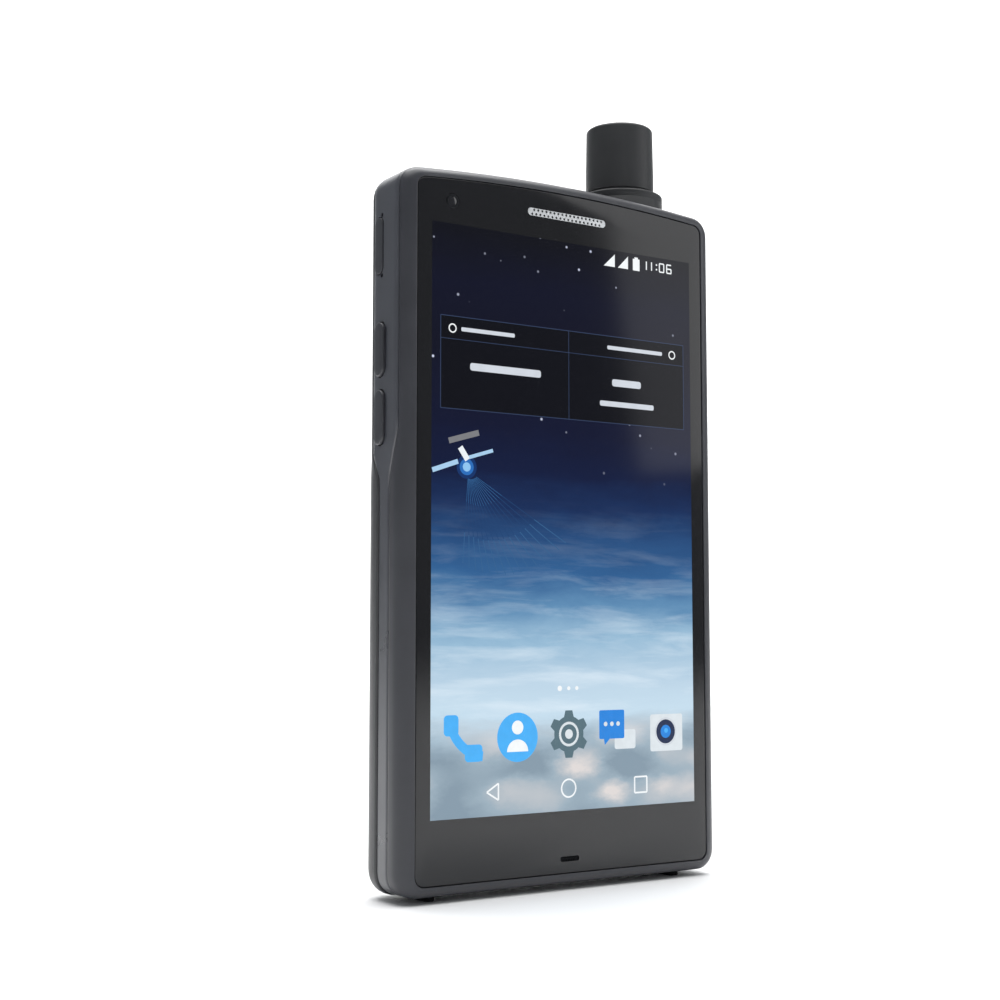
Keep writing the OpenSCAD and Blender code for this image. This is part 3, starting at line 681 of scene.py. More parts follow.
def lit_display(name):
    """Liquid crystal panel bonded under the glass, showing a night sky that pales to cloud tops."""
    material, tree, shader = start(name, Roughness=0.075, IOR=1.52, Specular_IOR_Level=0.28,
                                   Emission_Strength=1.0)
    shader.inputs["Base Color"].default_value = (0.003, 0.003, 0.004, 1)
    place = add(tree, "TexCoord")
    split = add(tree, "SeparateXYZ", {"Vector": place.outputs["Object"]})
    low = SCREEN_BOTTOM * MM
    height = add(tree, "MapRange", {
        "Value": split.outputs["Z"], "From Min": low, "From Max": low + SCREEN_H * MM})
    flat = add(tree, "Mapping", {"Vector": place.outputs["Object"], "Scale": (1.0, 1.0, 3.6)})
    # Haze that bends the bands, in patches about 20 mm across
    haze = add(tree, "TexNoise", {
        "Vector": flat.outputs["Vector"], "Scale": per_metre(26), "Detail": 6.0, "Roughness": 0.62,
        "Distortion": 0.35})
    shift = add(tree, "Math", {0: haze.outputs["Fac"], 1: -0.5}, operation="ADD")
    bent = add(tree, "Math", {0: shift.outputs[0], 1: 0.09, 2: height.outputs["Result"]},
               operation="MULTIPLY_ADD")
    sky = add(tree, "ValToRGB", {"Fac": bent.outputs[0]},
              stops=[(place_up, linear(value)) for place_up, value in SKY])
    # Wisps: long thin streaks between a tenth and half of the way up
    thin = add(tree, "Mapping", {
        "Vector": place.outputs["Object"], "Scale": (0.55, 1.0, 4.2), "Rotation": (0, math.radians(-7), 0)})
    wisps = add(tree, "TexNoise", {
        "Vector": thin.outputs["Vector"], "Scale": per_metre(13), "Detail": 9.0, "Roughness": 0.58,
        "Distortion": 0.3})
    wisp_shape = add(tree, "MapRange", {
        "Value": wisps.outputs["Fac"], "From Min": 0.47, "From Max": 0.78})
    wisp_band = add(tree, "ValToRGB", {"Fac": height.outputs["Result"]}, stops=[
        (0.06, (0, 0, 0, 1)), (0.2, (0.85, 0.85, 0.85, 1)), (0.33, (0.45, 0.45, 0.45, 1)),
        (0.42, (0.14, 0.14, 0.14, 1)), (0.54, (0, 0, 0, 1))])
    wisp_weight = add(tree, "Math", {
        0: wisp_shape.outputs["Result"], 1: wisp_band.outputs["Color"]}, operation="MULTIPLY")
    with_wisps = add(tree, "Mix", {
        MIX_FACTOR: wisp_weight.outputs[0], MIX_A: sky.outputs["Color"], MIX_B: linear("#dcebf6")},
        data_type="RGBA")
    # Cloud tops: heaps about 9 mm across in the lowest sixth, with ragged edges
    heaps = add(tree, "Mapping", {
        "Vector": place.outputs["Object"], "Scale": (0.75, 0.0, 1.5), "Rotation": (0, math.radians(24), 0)})
    ragged = add(tree, "TexNoise", {
        "Vector": heaps.outputs["Vector"], "Scale": per_metre(4.5), "Detail": 8.0, "Roughness": 0.65})
    nudged = add(tree, "VectorMath", {0: ragged.outputs["Color"], 1: (0.006, 0.0, 0.006),
                                                2: heaps.outputs["Vector"]}, operation="MULTIPLY_ADD")
    puffs = add(tree, "TexVoronoi", {"Vector": nudged.outputs["Vector"], "Scale": per_metre(9.0)},
                feature="SMOOTH_F1")
    puff_tint = add(tree, "ValToRGB", {"Fac": puffs.outputs["Distance"]}, stops=[
        (0.12, linear("#dcd6d4")), (0.3, linear("#b9bfc5")), (0.46, linear("#97abb9")),
        (0.62, linear("#8095a5"))])
    puff_band = add(tree, "ValToRGB", {"Fac": bent.outputs[0]}, stops=[
        (0.1, (1, 1, 1, 1)), (0.165, (0, 0, 0, 1))])
    with_puffs = add(tree, "Mix", {
        MIX_FACTOR: puff_band.outputs["Color"], MIX_A: with_wisps.outputs[2],
        MIX_B: puff_tint.outputs["Color"]}, data_type="RGBA")
    # Stars: one in each 3.2 mm cell at most, each a dot about 0.25 mm across
    spread = add(tree, "Mapping", {"Vector": place.outputs["Object"], "Scale": (1, 0, 1)})
    cells = add(tree, "TexVoronoi", {"Vector": spread.outputs["Vector"], "Scale": per_metre(3.2)})
    dots = add(tree, "MapRange", {
        "Value": cells.outputs["Distance"], "From Min": 0.045, "From Max": 0.115,
        "To Min": 1.0, "To Max": 0.0})
    chance = add(tree, "SeparateColor", {"Color": cells.outputs["Color"]})
    bright = add(tree, "MapRange", {
        "Value": chance.outputs["Red"], "From Min": 0.5, "From Max": 0.95, "To Min": 0.0, "To Max": 1.0})
    dim = add(tree, "Math", {0: dots.outputs["Result"], 1: bright.outputs["Result"]},
              operation="MULTIPLY")
    star_band = add(tree, "MapRange", {
        "Value": height.outputs["Result"], "From Min": 0.55, "From Max": 0.72})
    star_weight = add(tree, "Math", {0: dim.outputs[0], 1: star_band.outputs["Result"]},
                      operation="MULTIPLY")
    with_stars = add(tree, "Mix", {
        MIX_FACTOR: star_weight.outputs[0], MIX_A: with_puffs.outputs[2], MIX_B: linear("#dfe6ff")},
        data_type="RGBA")
    tree.links.new(with_stars.outputs[2], shader.inputs["Emission Color"])
    return material


# Pieces of the casing


def slot_cutter(node, grow, depth):
    """A closed cutter for the slot that a side key or tray sits in, cut depth deep from the side."""
    low, high = box_mm(node)
    side = 1 if high.x > 0 else -1
    centre = (low + high) / 2
    width, length = high.y - low.y, high.z - low.z
    if node.endswith("key"):
        width, length = width - 0.9, length - 0.9
        loop = stadium(centre.y, centre.z, length + 2 * grow, width + 2 * grow)
    else:
        loop = rounded_rect(centre.y, centre.z, width + 2 * grow, length + 2 * grow, 0.9)
    return prism("slot", loop, side * (HALF_W - depth), side * (HALF_W + 2), None, plane="yz")


def depth_steps(count):
    """Even steps from 0 to 1 that start close together."""
    return [(i / count) ** 1.7 for i in range(1, count)]


class PHONE_OT_front_housing(bpy.types.Operator):
    """Front shell: the rounded lip round the glass, its ledge, and the stepped parting line"""

    bl_idname = "phone.front_housing"
    bl_label = "Front housing"

    def execute(self, context):
        plastic = satin_moulded_polycarbonate("satin_moulded_polycarbonate_front", finish("front_shell"))
        groove = shape("groove")
        lip_side, lip_end = shape("side_round") - 0.08, shape("end_round") - 0.12
        glass = (lip_side + 0.05, lip_end + 0.04, 2.1)
        ledge = (lip_side + 2.1, lip_end + 2.0, 1.4)
        inside = (shape("wall"), shape("wall"), CORNER_INSIDE)
        edge = groove + GAP
        rings = [surface_ring(lambda z: front_line(z) - 0.05, plain=inside),
                 surface_ring(front_line, extra=1.1),
                 surface_ring(lambda z: front_line(z) - GAP, extra=groove),
                 surface_ring(lambda z: front_line(z) - GAP - 0.09, extra=groove * 0.35),
                 surface_ring(lambda z: front_line(z) - edge, extra=0.0)]
        for step in reversed(depth_steps(15)):
            rings.append(surface_ring(lambda z, s=step: (front_line(z) - edge) * s))
        rings += [surface_ring(lambda z: 0.012, plain=(lip_side - 0.14, lip_end - 0.14, 2.25)),
                  surface_ring(lambda z: 0.0, plain=(lip_side - 0.04, lip_end - 0.04, 2.15)),
                  surface_ring(lambda z: 0.05, plain=glass),
                  surface_ring(lambda z: 1.12, plain=glass),
                  surface_ring(lambda z: 1.12, plain=ledge),
                  surface_ring(lambda z: 1.95, plain=ledge),
                  surface_ring(lambda z: 1.98, plain=inside)]
        points, faces = ring_surface(rings, loop=True)
        shell = piece("front_shell", points, faces, plastic, sharp=50)
        on_body(shell, MOTHER, "housing_front", "front_housing")
        return {"FINISHED"}


class PHONE_OT_mid_frame(bpy.types.Operator):
    """Side band between the shells, with the slots for keys, tray, sockets and collar"""

    bl_idname = "phone.mid_frame"
    bl_label = "Side band"

    def execute(self, context):
        plastic = satin_moulded_polycarbonate(
            "satin_moulded_polycarbonate_band", finish("band"), 0.3, gloss=0.95)
        groove = shape("groove")
        inside = (shape("wall"), shape("wall"), CORNER_INSIDE)

        edge = groove + GAP

        def between(step):
            return lambda z: front_line(z) + edge + step * (rear_line(z) - front_line(z) - 2 * edge)

        rings = [surface_ring(front_line, extra=1.1),
                 surface_ring(lambda z: front_line(z) + GAP, extra=groove),
                 surface_ring(lambda z: front_line(z) + GAP + 0.09, extra=groove * 0.35)]
        rings += [surface_ring(between(i / 16)) for i in range(17)]
        rings += [surface_ring(lambda z: rear_line(z) - GAP - 0.09, extra=groove * 0.35),
                  surface_ring(lambda z: rear_line(z) - GAP, extra=groove),
                  surface_ring(rear_line, extra=1.1),
                  surface_ring(rear_line, plain=inside),
                  surface_ring(lambda z: front_line(z) + 0.02, plain=inside)]
        points, faces = ring_surface(rings, loop=True)
        band = piece("side_band", points, faces, plastic, sharp=45)
        cutters = [slot_cutter(node, grow, depth) for node, grow, depth in (
            ("volume_up_key", 0.2, 1.2), ("volume_down_key", 0.2, 1.2), ("side_key", 0.2, 1.0),
            ("power_key", 0.2, 1.2), ("sim_tray", 0.14, 1.0))]
        side_low, side_high = box_mm("side_key")
        for z in (side_low.z + 0.1, side_high.z - 0.1):
            cutters.append(lathe("dimple", [(0, -0.5), (0.42, -0.5), (0.5, 1.0), (0, 1.0)],
                                 (-HALF_W, side_low.y + 0.9, z), None, axis="x", steps=20))
        jack = middle_mm("headset_jack")
        cutters.append(drill(3.2, 0, 6, (jack.x, jack.y, TOP - 4), "z"))
        usb = middle_mm("usb_c_shell")
        cutters.append(prism("usb_hole", rounded_rect(usb.x, usb.y, 9.4, 3.6, 1.75), BOTTOM - 2, BOTTOM + 4,
                             None, plane="xy"))
        cutters.append(collar_drill())
        cut(band, cutters, sharp=45)
        on_body(band, MOTHER, "housing_frame", "mid_frame")
        return {"FINISHED"}


class PHONE_OT_rear_cover(bpy.types.Operator):
    """Rear shell: pillowed edges, the ridge over the antenna, and the cut-outs in the back"""

    bl_idname = "phone.rear_cover"
    bl_label = "Rear cover"

    def execute(self, context):
        plastic = spark_textured_polycarbonate("spark_textured_polycarbonate_rear", finish("rear_shell"))
        groove, proud = shape("groove"), shape("rear_proud")
        inside = (shape("wall"), shape("wall"), CORNER_INSIDE)
        back_round = max(shape("back_side_round"), shape("back_end_round"))
        edge = groove * 1.3 + GAP
        rings = [surface_ring(lambda z: rear_line(z) + 0.05, plain=inside),
                 surface_ring(rear_line, extra=1.1),
                 surface_ring(lambda z: rear_line(z) + GAP, extra=groove * 1.3, proud=proud),
                 surface_ring(lambda z: rear_line(z) + GAP + groove * 0.5, extra=groove * 0.5, proud=proud),
                 surface_ring(lambda z: rear_line(z) + edge, proud=proud)]
        turn = BODY_BACK - back_round
        for i in range(1, 5):
            rings.append(surface_ring(lambda z, s=i / 5: rear_line(z) + edge + s * (
                max(turn - rear_line(z) - edge, 0.02)), proud=proud, ridge=True))
        for i in range(15):
            depth = turn + back_round * math.sin(math.pi / 2 * i / 14)
            rings.append(surface_ring(lambda z, d=depth: max(d, rear_line(z) + edge + 0.03 + d * 0.001),
                                      proud=proud * (1 - i / 14), ridge=True))
        side, end, corner = rounding(BODY_BACK)
        reach = HALF_W - side
        bands = 46
        for i in range(1, bands + 1):
            inset = reach * i / bands
            rings.append(surface_ring(lambda z: BODY_BACK, ridge=True, plain=(
                side + inset, end + inset, max(corner * (1 - i / bands), 0.06))))
        outer_points, outer_faces = ring_surface(rings)
        count = len(rings[0])
        inner = [surface_ring(lambda z: BODY_BACK - 1.6, plain=(side, end, 2.0)),
                 surface_ring(lambda z: rear_line(z) + 0.4, plain=inside)]
        base = len(outer_points)
        points = outer_points + inner[0] + inner[1]
        faces = list(outer_faces)
        faces.append(tuple(base + k for k in reversed(range(count))))
        for k in range(count):
            n = (k + 1) % count
            faces.append((base + k, base + n, base + count + n, base + count + k))
            faces.append((base + count + k, base + count + n, n, k))
        cover = piece("rear_shell", points, faces, plastic, sharp=40)
        cutters = []
        for x, z in SCREW_PLACES:
            pocket = [(0, -1.0), (1.62, -1.0), (1.62, 0), (1.95, 0.35), (1.95, 3), (0, 3)]
            cutters.append(lathe("screw_pocket", pocket, (x, BACK_Y, z), None, axis="y", steps=40))
        for node, grow in (("rear_camera_trim", 0.08), ("flash_lens", 0.06)):
            low, high = box_mm(node)
            r = (high.x - low.x) / 2 + grow
            cutters.append(drill(r, -1.2, 3, ((low.x + high.x) / 2, BACK_Y, (low.z + high.z) / 2), steps=64))
        low, high = box_mm("loudspeaker_mesh")
        centre = (low + high) / 2
        size = high - low
        cutters.append(prism("speaker_cut", rounded_rect(centre.x, centre.z, size.x + 0.2, size.z + 0.2,
                                                         size.z / 2), BACK_Y - 0.8,
                             BACK_Y + 2, None))
        cutters.append(collar_drill())
        cut(cover, cutters, sharp=40)
        on_body(cover, MOTHER, "housing_back", "rear_cover")
        return {"FINISHED"}


def screw_places():
    """Where the casing screws stand, from the separate shells of their node, as (x, z)."""
    work = bmesh.new()
    work.from_mesh(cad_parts["housing_screws"].data)
    seen = set()
    shells = []
    for first in work.verts:
        if first.index in seen:
            continue
        seen.add(first.index)
        stack = [first]
        shell = []
        while stack:
            vert = stack.pop()
            shell.append(vert.co / MM)
            for edge in vert.link_edges:
                other = edge.other_vert(vert)
                if other.index not in seen:
                    seen.add(other.index)
                    stack.append(other)
        low = [min(p[i] for p in shell) for i in (0, 2)]
        high = [max(p[i] for p in shell) for i in (0, 2)]
        width = round(high[0] - low[0], 2)
        shells.append((-width, tuple(round((a + b) / 2, 2) for a, b in zip(low, high))))
    work.free()
    # The widest shell of a screw is its head, which is centred on it, so it is taken first
    places = []
    for _, place in sorted(shells):
        if all(math.dist(place, known) > SCREW_APART for known in places):
            places.append(place)
    return sorted(places)


# Two shells further apart than this belong to different screws
SCREW_APART = 3
SCREW_PLACES = screw_places()


# The glass and what it shows


class PHONE_OT_cover_glass(bpy.types.Operator):
    """Cover glass with its printed border, the lit panel bonded in its middle, and its three openings"""

    bl_idname = "phone.cover_glass"
    bl_label = "Cover glass"

    def execute(self, context):
        border = printed_cover_glass("printed_cover_glass", finish("glass_print"))
        panel = lit_display("lit_display_panel")
        inset = (shape("side_round") + 0.1, shape("end_round") + 0.06, 2.0)
        low, high = SCREEN_BOTTOM, SCREEN_BOTTOM + SCREEN_H
        rings = [surface_ring(lambda z: 0.9, plain=inset),
                 surface_ring(lambda z: SCREEN_FACE + 0.2, plain=inset)]
        for i in range(1, 5):
            a = math.pi / 2 * i / 4
            rings.append(surface_ring(lambda z, d=SCREEN_FACE + 0.2 * (1 - math.sin(a)): d, plain=(
                inset[0] + 0.25 * (1 - math.cos(a)), inset[1] + 0.25 * (1 - math.cos(a)), inset[2])))
        points, faces = ring_surface(rings, closed_ends=True)
        glass = piece("front_glass", points, faces, [border, panel], sharp=50)
        ear_low, ear_high = box_mm("earpiece_mesh")
        mic_low, mic_high = box_mm("microphone_mesh")
        cam = middle_mm("front_camera_lens")
        cutters = []
        for a, b in ((ear_low, ear_high), (mic_low, mic_high)):
            size = b - a
            cutters.append(prism("slot", rounded_rect((a.x + b.x) / 2, (a.z + b.z) / 2, size.x + 0.12,
                                                      size.z + 0.12, size.z / 2), GLASS_Y - 1, GLASS_Y + 0.7,
                                 None))
        cutters.append(drill(1.5, -1, 0.7, (cam.x, GLASS_Y, cam.z), steps=48))
        cut(glass, cutters, sharp=50)
        mark_screen(glass, low, high)
        on_body(glass, MOTHER, "cover_glass", "cover_glass")
        return {"FINISHED"}


def mark_screen(glass, low, high):
    """Cuts the screen's edge into the front face and gives what lies inside it the lit material."""
    work = bmesh.new()
    work.from_mesh(glass.data)
    for co, normal in (((-SCREEN_HALF_W, 0, 0), (1, 0, 0)), ((SCREEN_HALF_W, 0, 0), (1, 0, 0)),
                       ((0, 0, low), (0, 0, 1)), ((0, 0, high), (0, 0, 1))):
        front = [f for f in work.faces if f.normal.y < -0.9]
        geometry = front + list({e for f in front for e in f.edges})
        geometry += list({v for f in front for v in f.verts})
        bmesh.ops.bisect_plane(work, geom=geometry, plane_co=Vector(co) * MM, plane_no=normal)
    for face in work.faces:
        centre = face.calc_center_median() / MM
        lit = face.normal.y < -0.9 and abs(centre.x) < SCREEN_HALF_W and low < centre.z < high
        face.material_index = 1 if lit else 0
    work.to_mesh(glass.data)
    work.free()


def flat_piece(name, loops, material, layer=1):
    """Flat shapes just over the glass, from outlines of (x, height above the screen's bottom).

    A higher layer lies over a lower one, and outlines that overlap in one layer are stepped apart."""
    parts = []
    face = GLASS_Y + SCREEN_FACE
    for i, loop in enumerate(loops):
        lift = 0.01 * layer + 0.0003 * (i % 12)
        points = [(x, face - lift, SCREEN_BOTTOM + z) for x, z in loop]
        back = [(x, face + 0.01, SCREEN_BOTTOM + z) for x, z in loop]
        count = len(loop)
        faces = [tuple(range(count)), tuple(range(2 * count - 1, count - 1, -1))]
        faces += [(k, (k + 1) % count, count + (k + 1) % count, count + k) for k in range(count)]
        parts.append(piece(name, points + back, faces, material))
    made = join(parts, name)
    on_body(made, MOTHER, "display")
    return made


def bar(cx, cz, width, height):
    return rounded_rect(cx, cz, width, height, min(width, height) * 0.32, steps=4)


def disc(cx, cz, r, steps=40):
    return arc_points(cx, cz, r, 0, 360 * (1 - 1 / steps), steps - 1)


def band(points, width):
    """A drawn line as a run of short bars from point to point."""
    loops = []
    for (x0, z0), (x1, z1) in zip(points, points[1:]):
        run = math.hypot(x1 - x0, z1 - z0)
        nx, nz = -(z1 - z0) / run * width / 2, (x1 - x0) / run * width / 2
        loops.append([(x0 + nx, z0 + nz), (x0 - nx, z0 - nz), (x1 - nx, z1 - nz), (x1 + nx, z1 + nz)])
    return loops


def arc_band(cx, cz, r, width, start, end, steps=16):
    """A thick arc as one outline."""
    outer = arc_points(cx, cz, r + width / 2, start, end, steps)
    return outer + arc_points(cx, cz, r - width / 2, end, start, steps)


def hoop(cx, cz, r, width, start=0, end=360, steps=32):
    return band(arc_points(cx, cz, r, start, end, steps), width)


DIGIT_STROKES = {"1": [((0.5, 0), (0.5, 1))],
                 "0": [((0, 0), (1, 0), (1, 1), (0, 1), (0, 0))],
                 "6": [((1, 1), (0, 1), (0, 0), (1, 0), (1, 0.5), (0, 0.5))]}


def digit(kind, x, z, w, h, width):
    loops = []
    for stroke in DIGIT_STROKES[kind]:
        loops += band([(x + u * w, z + v * h) for u, v in stroke], width)
    return loops


class PHONE_OT_screen_graphics(bpy.types.Operator):
    """Call, contacts, settings, message and camera icons, the navigation keys, status line and widget"""

    bl_idname = "phone.screen_graphics"
    bl_label = "Screen graphics"

    def execute(self, context):
        white, grey, cloud, blue, deep, slate, ink, rule, shade = (
            glowing_print("lit_%s_pixels" % name, value) for name, value in (
                ("white", "#f6fafc"), ("grey", "#d3d9e2"), ("cloud_white", "#dfe7ec"), ("blue", "#45b1f9"),
                ("deep_blue", "#1a84df"), ("slate", "#536e79"), ("dark_blue", "#12264c"),
                ("rule", "#33415f"), ("widget", "#02030c")))
        handset = [arc_band(-19.7, 20.1, 8.6, 1.9, 186, 264)]
        handset += [rounded_rect(-27.8, 17.6, 3.3, 4.0, 0.8), rounded_rect(-22.7, 12.2, 4.0, 3.3, 0.8)]
        shoulders = [(x, 12.1 + (z - 12.3) * 0.95) for x, z in arc_points(-12.5, 12.3, 2.5, 0, 180, 16)]
        teeth = []
        for i in range(6):
            a = math.radians(60 * i + 30)
            cx, cz = -0.1 + 3.9 * math.cos(a), 15.1 + 3.9 * math.sin(a)
            along, across = (math.cos(a), math.sin(a)), (-math.sin(a), math.cos(a))
            teeth.append([(cx + along[0] * u + across[0] * v, cz + along[1] * u + across[1] * v)
                          for u, v in ((-0.9, -1.3), (0.8, -0.85), (0.8, 0.85), (-0.9, 1.3))])
        tail = [(8.6, 14.2), (8.9, 12.6), (10.6, 14.2)]
        triangle = [(-19.7, 4.6), (-17.0, 6.2), (-17.0, 3.0), (-19.7, 4.6)]
        square = [(16.5, 2.6), (19.7, 2.6), (19.7, 5.8), (16.5, 5.8), (16.5, 2.6)]
        status = [[(9.3, 111.6), (12.2, 111.6), (12.2, 114.3)], [(13.0, 111.6), (15.7, 111.6), (15.7, 114.3)],
                  rounded_rect(17.9, 112.8, 1.8, 2.5, 0.12), rounded_rect(17.9, 114.2, 0.9, 0.4, 0.05)]
        clock = []
        for kind, x, width in (("1", 20.2, 0.9), ("1", 21.6, 0.9), ("0", 24.2, 1.2), ("6", 26.2, 1.2)):
            clock += digit(kind, x, 112.1, width, 1.8, 0.28)
        clock += [disc(23.4, 112.5, 0.2, 12), disc(23.4, 113.5, 0.2, 12)]
        left, right, low, high = -30.4, 30.5, 78.6, 96.8
        field = [(left, low), (right, low), (right, high), (left, high)]
        rules = band(field + field[:1], 0.15) + band([(left, 92.3), (right, 92.3)], 0.12)
        rules += band([(0.2, low), (0.2, high)], 0.12)
        words = [bar(-15.2, 87.2, 16.9, 1.5), bar(15.1, 87.1, 7.6, 1.5), bar(15.2, 82.6, 14.2, 1.1),
                 bar(-19.4, 94.4, 12.6, 0.8), bar(17.4, 94.4, 14.6, 0.8)]
        for name, loops, material, layer in (
                ("icon_handset", handset, blue, 1),
                ("icon_contact_disc", [disc(-12.5, 14.9, 4.8)], blue, 1),
                ("icon_contact", [disc(-12.5, 16.8, 1.35), shoulders], white, 2),
                ("icon_gear", teeth + [disc(-0.1, 15.1, 3.6)], slate, 1),
                ("icon_gear_ring", hoop(-0.1, 15.1, 2.2, 0.5) + [disc(-0.1, 15.1, 0.95)], cloud, 2),
                ("icon_bubble_back", [rounded_rect(14.1, 13.6, 5.4, 3.9, 0.5)], cloud, 1),
                ("icon_bubble", [rounded_rect(10.7, 16.7, 6.4, 5.8, 0.35), tail], deep, 2),
                ("icon_bubble_dots", [disc(x, 16.8, 0.46, 16) for x in (9.1, 10.7, 12.3)], cloud, 3),
                ("icon_camera", [rounded_rect(25, 14.6, 8.6, 7.6, 0.5)], cloud, 1),
                ("icon_camera_ring", hoop(24.8, 14.8, 2.75, 0.3), grey, 2),
                ("icon_camera_barrel", [disc(24.8, 14.8, 2.5)], ink, 2),
                ("icon_camera_lens", [disc(24.8, 14.8, 1.35)], deep, 3),
                ("icon_camera_glint", [disc(24.9, 15.0, 0.5, 20)], blue, 4),
                ("navigation_keys", band(triangle, 0.34) + band(square, 0.34) + hoop(-0.2, 4.4, 1.75, 0.34),
                 white, 1),
                ("page_dots", [disc(-2.3, 24.2, 0.55, 16), disc(-0.1, 24.2, 0.4, 16),
                               disc(1.9, 24.2, 0.4, 16)], white, 1),
                ("status_signs", status, white, 1), ("clock", clock, white, 1),
                ("widget_shade", [field], shade, 0.5), ("widget_rules", rules, rule, 2),
                ("widget_bars", words, grey, 2),
                ("widget_signs", hoop(-27.7, 94.4, 0.8, 0.26) + hoop(27.4, 94.4, 0.8, 0.26), white, 2)):
            flat_piece(name, loops, material, layer)
        return {"FINISHED"}


class PHONE_OT_screen_satellite(bpy.types.Operator):
    """The satellite drawn on the screen, with its two wings, flat aerial, glow and spreading beams"""

    bl_idname = "phone.screen_satellite"
    bl_label = "Screen satellite"

    def execute(self, context):
        aerial = glowing_print("lit_aerial_pixels", "#8b8c90", 0.8)
        wing = glowing_print("lit_wing_pixels", "#a9cfee")
        body = glowing_print("lit_satellite_body_pixels", "#eef4f8")
        glow = [glowing_print("lit_glow_pixels_" + name, value) for name, value in (
            ("outer", "#10336a"), ("middle", "#2a6fbe"), ("inner", "#8fc6f2"))]
        beams = [glowing_print("lit_beam_pixels_" + name, value) for name, value in (
            ("near", "#2f6297"), ("middle", "#1d4272"), ("far", "#34618f"))]
        flat_piece("satellite_wings", band([(-32.2, 66.4), (-26.4, 68.4)], 0.95)
                   + band([(-23.9, 69.3), (-18.3, 71.0)], 0.7), wing, 2)
        flat_piece("satellite_aerial", band([(-28.5, 72.3), (-21.6, 74.3)], 1.15), aerial, 2)
        flat_piece("satellite_body", band([(-25.9, 71.2), (-24.2, 68.8)], 1.2), body, 3)
        for layer, (r, material) in enumerate(zip((2.3, 1.6, 0.9), glow)):
            flat_piece("satellite_glow_%d" % layer, [disc(-24.4, 67.4, r)], material, 1 + 0.4 * layer)
        source = (-24.0, 66.6)
        for part, (first, last, material) in enumerate(((1.4, 6.0, beams[0]), (6.0, 12.0, beams[1]),
                                                        (12.0, 18.0, beams[2]))):
            rays = []
            for i in range(15):
                a = math.radians(266 + 4.6 * i)
                ends = [(source[0] + reach * (1 + 0.035 * i) * math.cos(a),
                         source[1] + reach * (1 + 0.035 * i) * math.sin(a)) for reach in (first, last)]
                rays += band(ends, 0.1 + 0.03 * part)
            flat_piece("satellite_beams_%d" % part, rays, material, 0.4)
        return {"FINISHED"}


# Small pieces


def perforated(name, node, pitch, hole_r, material):
    """A plate the size of a mesh node's face, with real round holes in a staggered pattern."""
    low, high = box_mm(node)
    size = high - low
    front = low.y if high.y < 0 else high.y
    inward = 0.25 if high.y < 0 else -0.25
    loop = rounded_rect((low.x + high.x) / 2, (low.z + high.z) / 2, size.x - 0.02, size.z - 0.02,
                        size.z / 2 - 0.02, 8)
    plate = prism(name, loop, front + inward, front + (0.01 if inward > 0 else -0.01), material)
    rows = max(int((size.z - 2 * hole_r) / (pitch * 0.866)), 0)
    tools = []
    for j in range(rows + 1):
        z = (low.z + high.z) / 2 + (j - rows / 2) * pitch * 0.866
        reach = (size.x - size.z) / 2 + math.sqrt(max((size.z / 2 - hole_r * 1.6) ** 2 - (
            z - (low.z + high.z) / 2) ** 2, 0))
        across = int(2 * reach / pitch)
        for i in range(across + 1):
            x = (low.x + high.x) / 2 + (i - across / 2) * pitch + (pitch / 4 if j % 2 else -pitch / 4)
            if abs(x - (low.x + high.x) / 2) <= reach:
                tools.append(drill(hole_r, -0.6, 0.6, (x, front, z), steps=10))
    cut(plate, tools)
    return plate


class PHONE_OT_sound_meshes(bpy.types.Operator):
    """Punched steel meshes over the earpiece, the microphone and the loudspeaker"""

    bl_idname = "phone.sound_meshes"
    bl_label = "Sound meshes"

    def execute(self, context):
        steel = brushed_metal("etched_stainless_steel_mesh", linear("#e6e8ea"), 0.42, "x")
        black = brushed_metal("blackened_steel_mesh", linear("#1b1c1e"), 0.5, "x")
        for name, node, pitch, r, metal in (("earpiece_grille", "earpiece_mesh", 1.0, 0.26, steel),
                                            ("microphone_grille", "microphone_mesh", 0.6, 0.16, black),
                                            ("loudspeaker_grille", "loudspeaker_mesh", 1.1, 0.36, black)):
            plate = perforated(name, node, pitch, r, metal)
            on_body(plate, MOTHER, "mesh_steel", node)
        return {"FINISHED"}


class PHONE_OT_front_camera(bpy.types.Operator):
    """Front camera: a domed lens in a stepped black barrel, set under the glass"""

    bl_idname = "phone.front_camera"
    bl_label = "Front camera"

    def execute(self, context):
        low, high = box_mm("front_camera_lens")
        centre = (low + high) / 2
        r = (high.x - low.x) / 2 - 0.02
        black = polished_lens_glass("coated_lens_glass_front", linear("#0b0a12"))
        ring = brushed_metal("anodised_aluminium_lens_ring", linear("#2c2d30"), 0.4, "x")
        deep = (high.y - low.y) - 0.02
        dome = [(0, 0.02), (r * 0.35, 0.03), (r * 0.62, 0.08), (r * 0.62, deep), (0, deep)]
        rim = [(r * 0.66, 0.06), (r * 0.74, 0.02), (r * 0.96, 0.02), (r, 0.06), (r, deep), (r * 0.66, deep)]
        both = join([lathe(name, profile, (centre.x, low.y, centre.z), material, axis="y", steps=64)
                     for name, profile, material in (("front_lens", dome, black),
                                                     ("front_lens_ring", rim, ring))], "front_camera")
        on_body(both, MOTHER, "lens_ring", "front_camera_lens")
        return {"FINISHED"}


